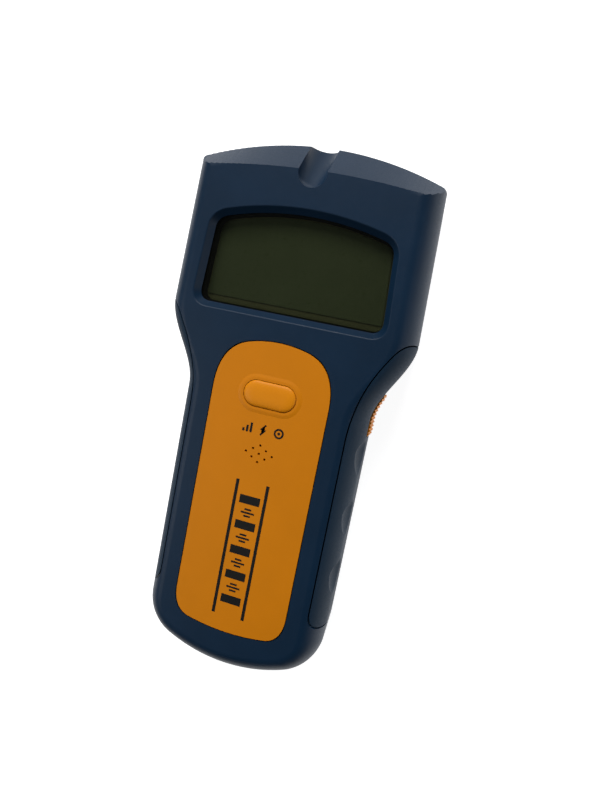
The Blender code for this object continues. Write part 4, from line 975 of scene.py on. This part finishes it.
# %% Dress the designed pieces
INSIDE = {
    "lcd_panel": CRYSTAL_EDGE, "lcd_frame": BLACK, "lcd_contact_strip": FOAM, "main_board": BOARD,
    "sensor_board": BOARD, "sensor_plate": COPPER, "coil_spool": WHITE, "coil_winding": COPPER,
    "select_switch_body": BLACK, "side_switch_body": BLACK, "select_switch_plunger": AMBER_KEY,
    "side_switch_plunger": AMBER_KEY, "buzzer": BLACK, "controller_chip": BLACK, "detector_chip": BLACK,
    "voltage_regulator": BLACK, "board_link": BLACK, "clock_crystal": STEEL, "capacitor": SLEEVE,
    "battery_snap": BLACK, "battery_terminal": STEEL, "battery_pad": FOAM, "battery": JACKET,
    "lead_red": RED, "lead_black": BLACK, "case_screw": STEEL, "board_screw": STEEL, "sensor_screw": STEEL,
}
dressed = 0
for name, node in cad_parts.items():
    match = next((finish for start, finish in INSIDE.items() if name.startswith(start)), None)
    if match:
        dressed += 1
        for place in node.material_slots:
            place.material = match
print("dressed:", dressed)

# %% [markdown]
# ## The stage
# The tool lies on a white light table, which also brightens the rims of its sides. A large soft light
# stands beyond the head, and weaker ones stand at both sides.

# %% Set the floor and the lights
def pale_floor():
    deselect()
    bpy.ops.mesh.primitive_plane_add(size=6, location=(0, 0, -0.05 * MM))
    floor = bpy.context.object
    floor.name = "floor"
    cloth = moulded("pale_floor", (0.5, 0.5, 0.505), (0.53, 0.53, 0.53), 0.9, grain=300, depth=0.0)
    shader = cloth.node_tree.nodes["Principled BSDF"]
    shader.inputs["Emission Color"].default_value = (1, 1, 1, 1)
    shader.inputs["Emission Strength"].default_value = 0.9
    floor.data.materials.append(cloth)


def soft_light(name, place, aim, size, power):
    data = bpy.data.lights.new(name, "AREA")
    data.shape = "RECTANGLE"
    data.size, data.size_y = size
    data.energy = power
    lamp = bpy.data.objects.new(name, data)
    bpy.context.scene.collection.objects.link(lamp)
    lamp.location = place
    lamp.rotation_euler = (Vector(aim) - Vector(place)).to_track_quat("-Z", "Y").to_euler()


def sky(strength):
    world = bpy.data.worlds.new("light_tent")
    bpy.context.scene.world = world
    world.use_nodes = True
    shade = world.node_tree.nodes["Background"]
    shade.inputs["Color"].default_value = (0.9, 0.95, 1, 1)
    shade.inputs["Strength"].default_value = strength


pale_floor()
sky(0.08)
MIDDLE = (0, 0, 0.02)
soft_light("head_light", (-0.15, 0.75, 0.6), MIDDLE, (0.7, 0.4), 10)
soft_light("side_light", (0.8, -0.1, 0.3), MIDDLE, (0.4, 0.6), 1.2)
soft_light("far_light", (-0.8, -0.3, 0.9), MIDDLE, (0.5, 0.5), 3.5)
bpy.context.scene.view_settings.view_transform = "Standard"

# %% [markdown]
# ## The camera
# It is held close above the waist, to the right of the tool and rolled a little, with a wide lens, so the
# head looks larger than the tail.

# %% Place the camera
def place_camera():
    data = bpy.data.cameras.new("camera")
    data.lens = 29.25
    data.sensor_width = 36
    camera = bpy.data.objects.new("camera", data)
    bpy.context.scene.collection.objects.link(camera)
    eye = Vector((56.5, 32.25, 183.9)) * MM + Vector((0, 0, TOP))
    aim = Vector((9.37, 8.05, 0)) * MM + Vector((0, 0, TOP))
    back = (eye - aim).normalized()
    right = Vector((-0.2198, 0.9729, -0.0717)).cross(back).normalized()
    up = back.cross(right)
    turn = Matrix((right, up, back)).transposed().to_4x4()
    camera.matrix_world = Matrix.Translation(eye) @ turn
    data.clip_start = 1 * MM
    bpy.context.scene.camera = camera


place_camera()
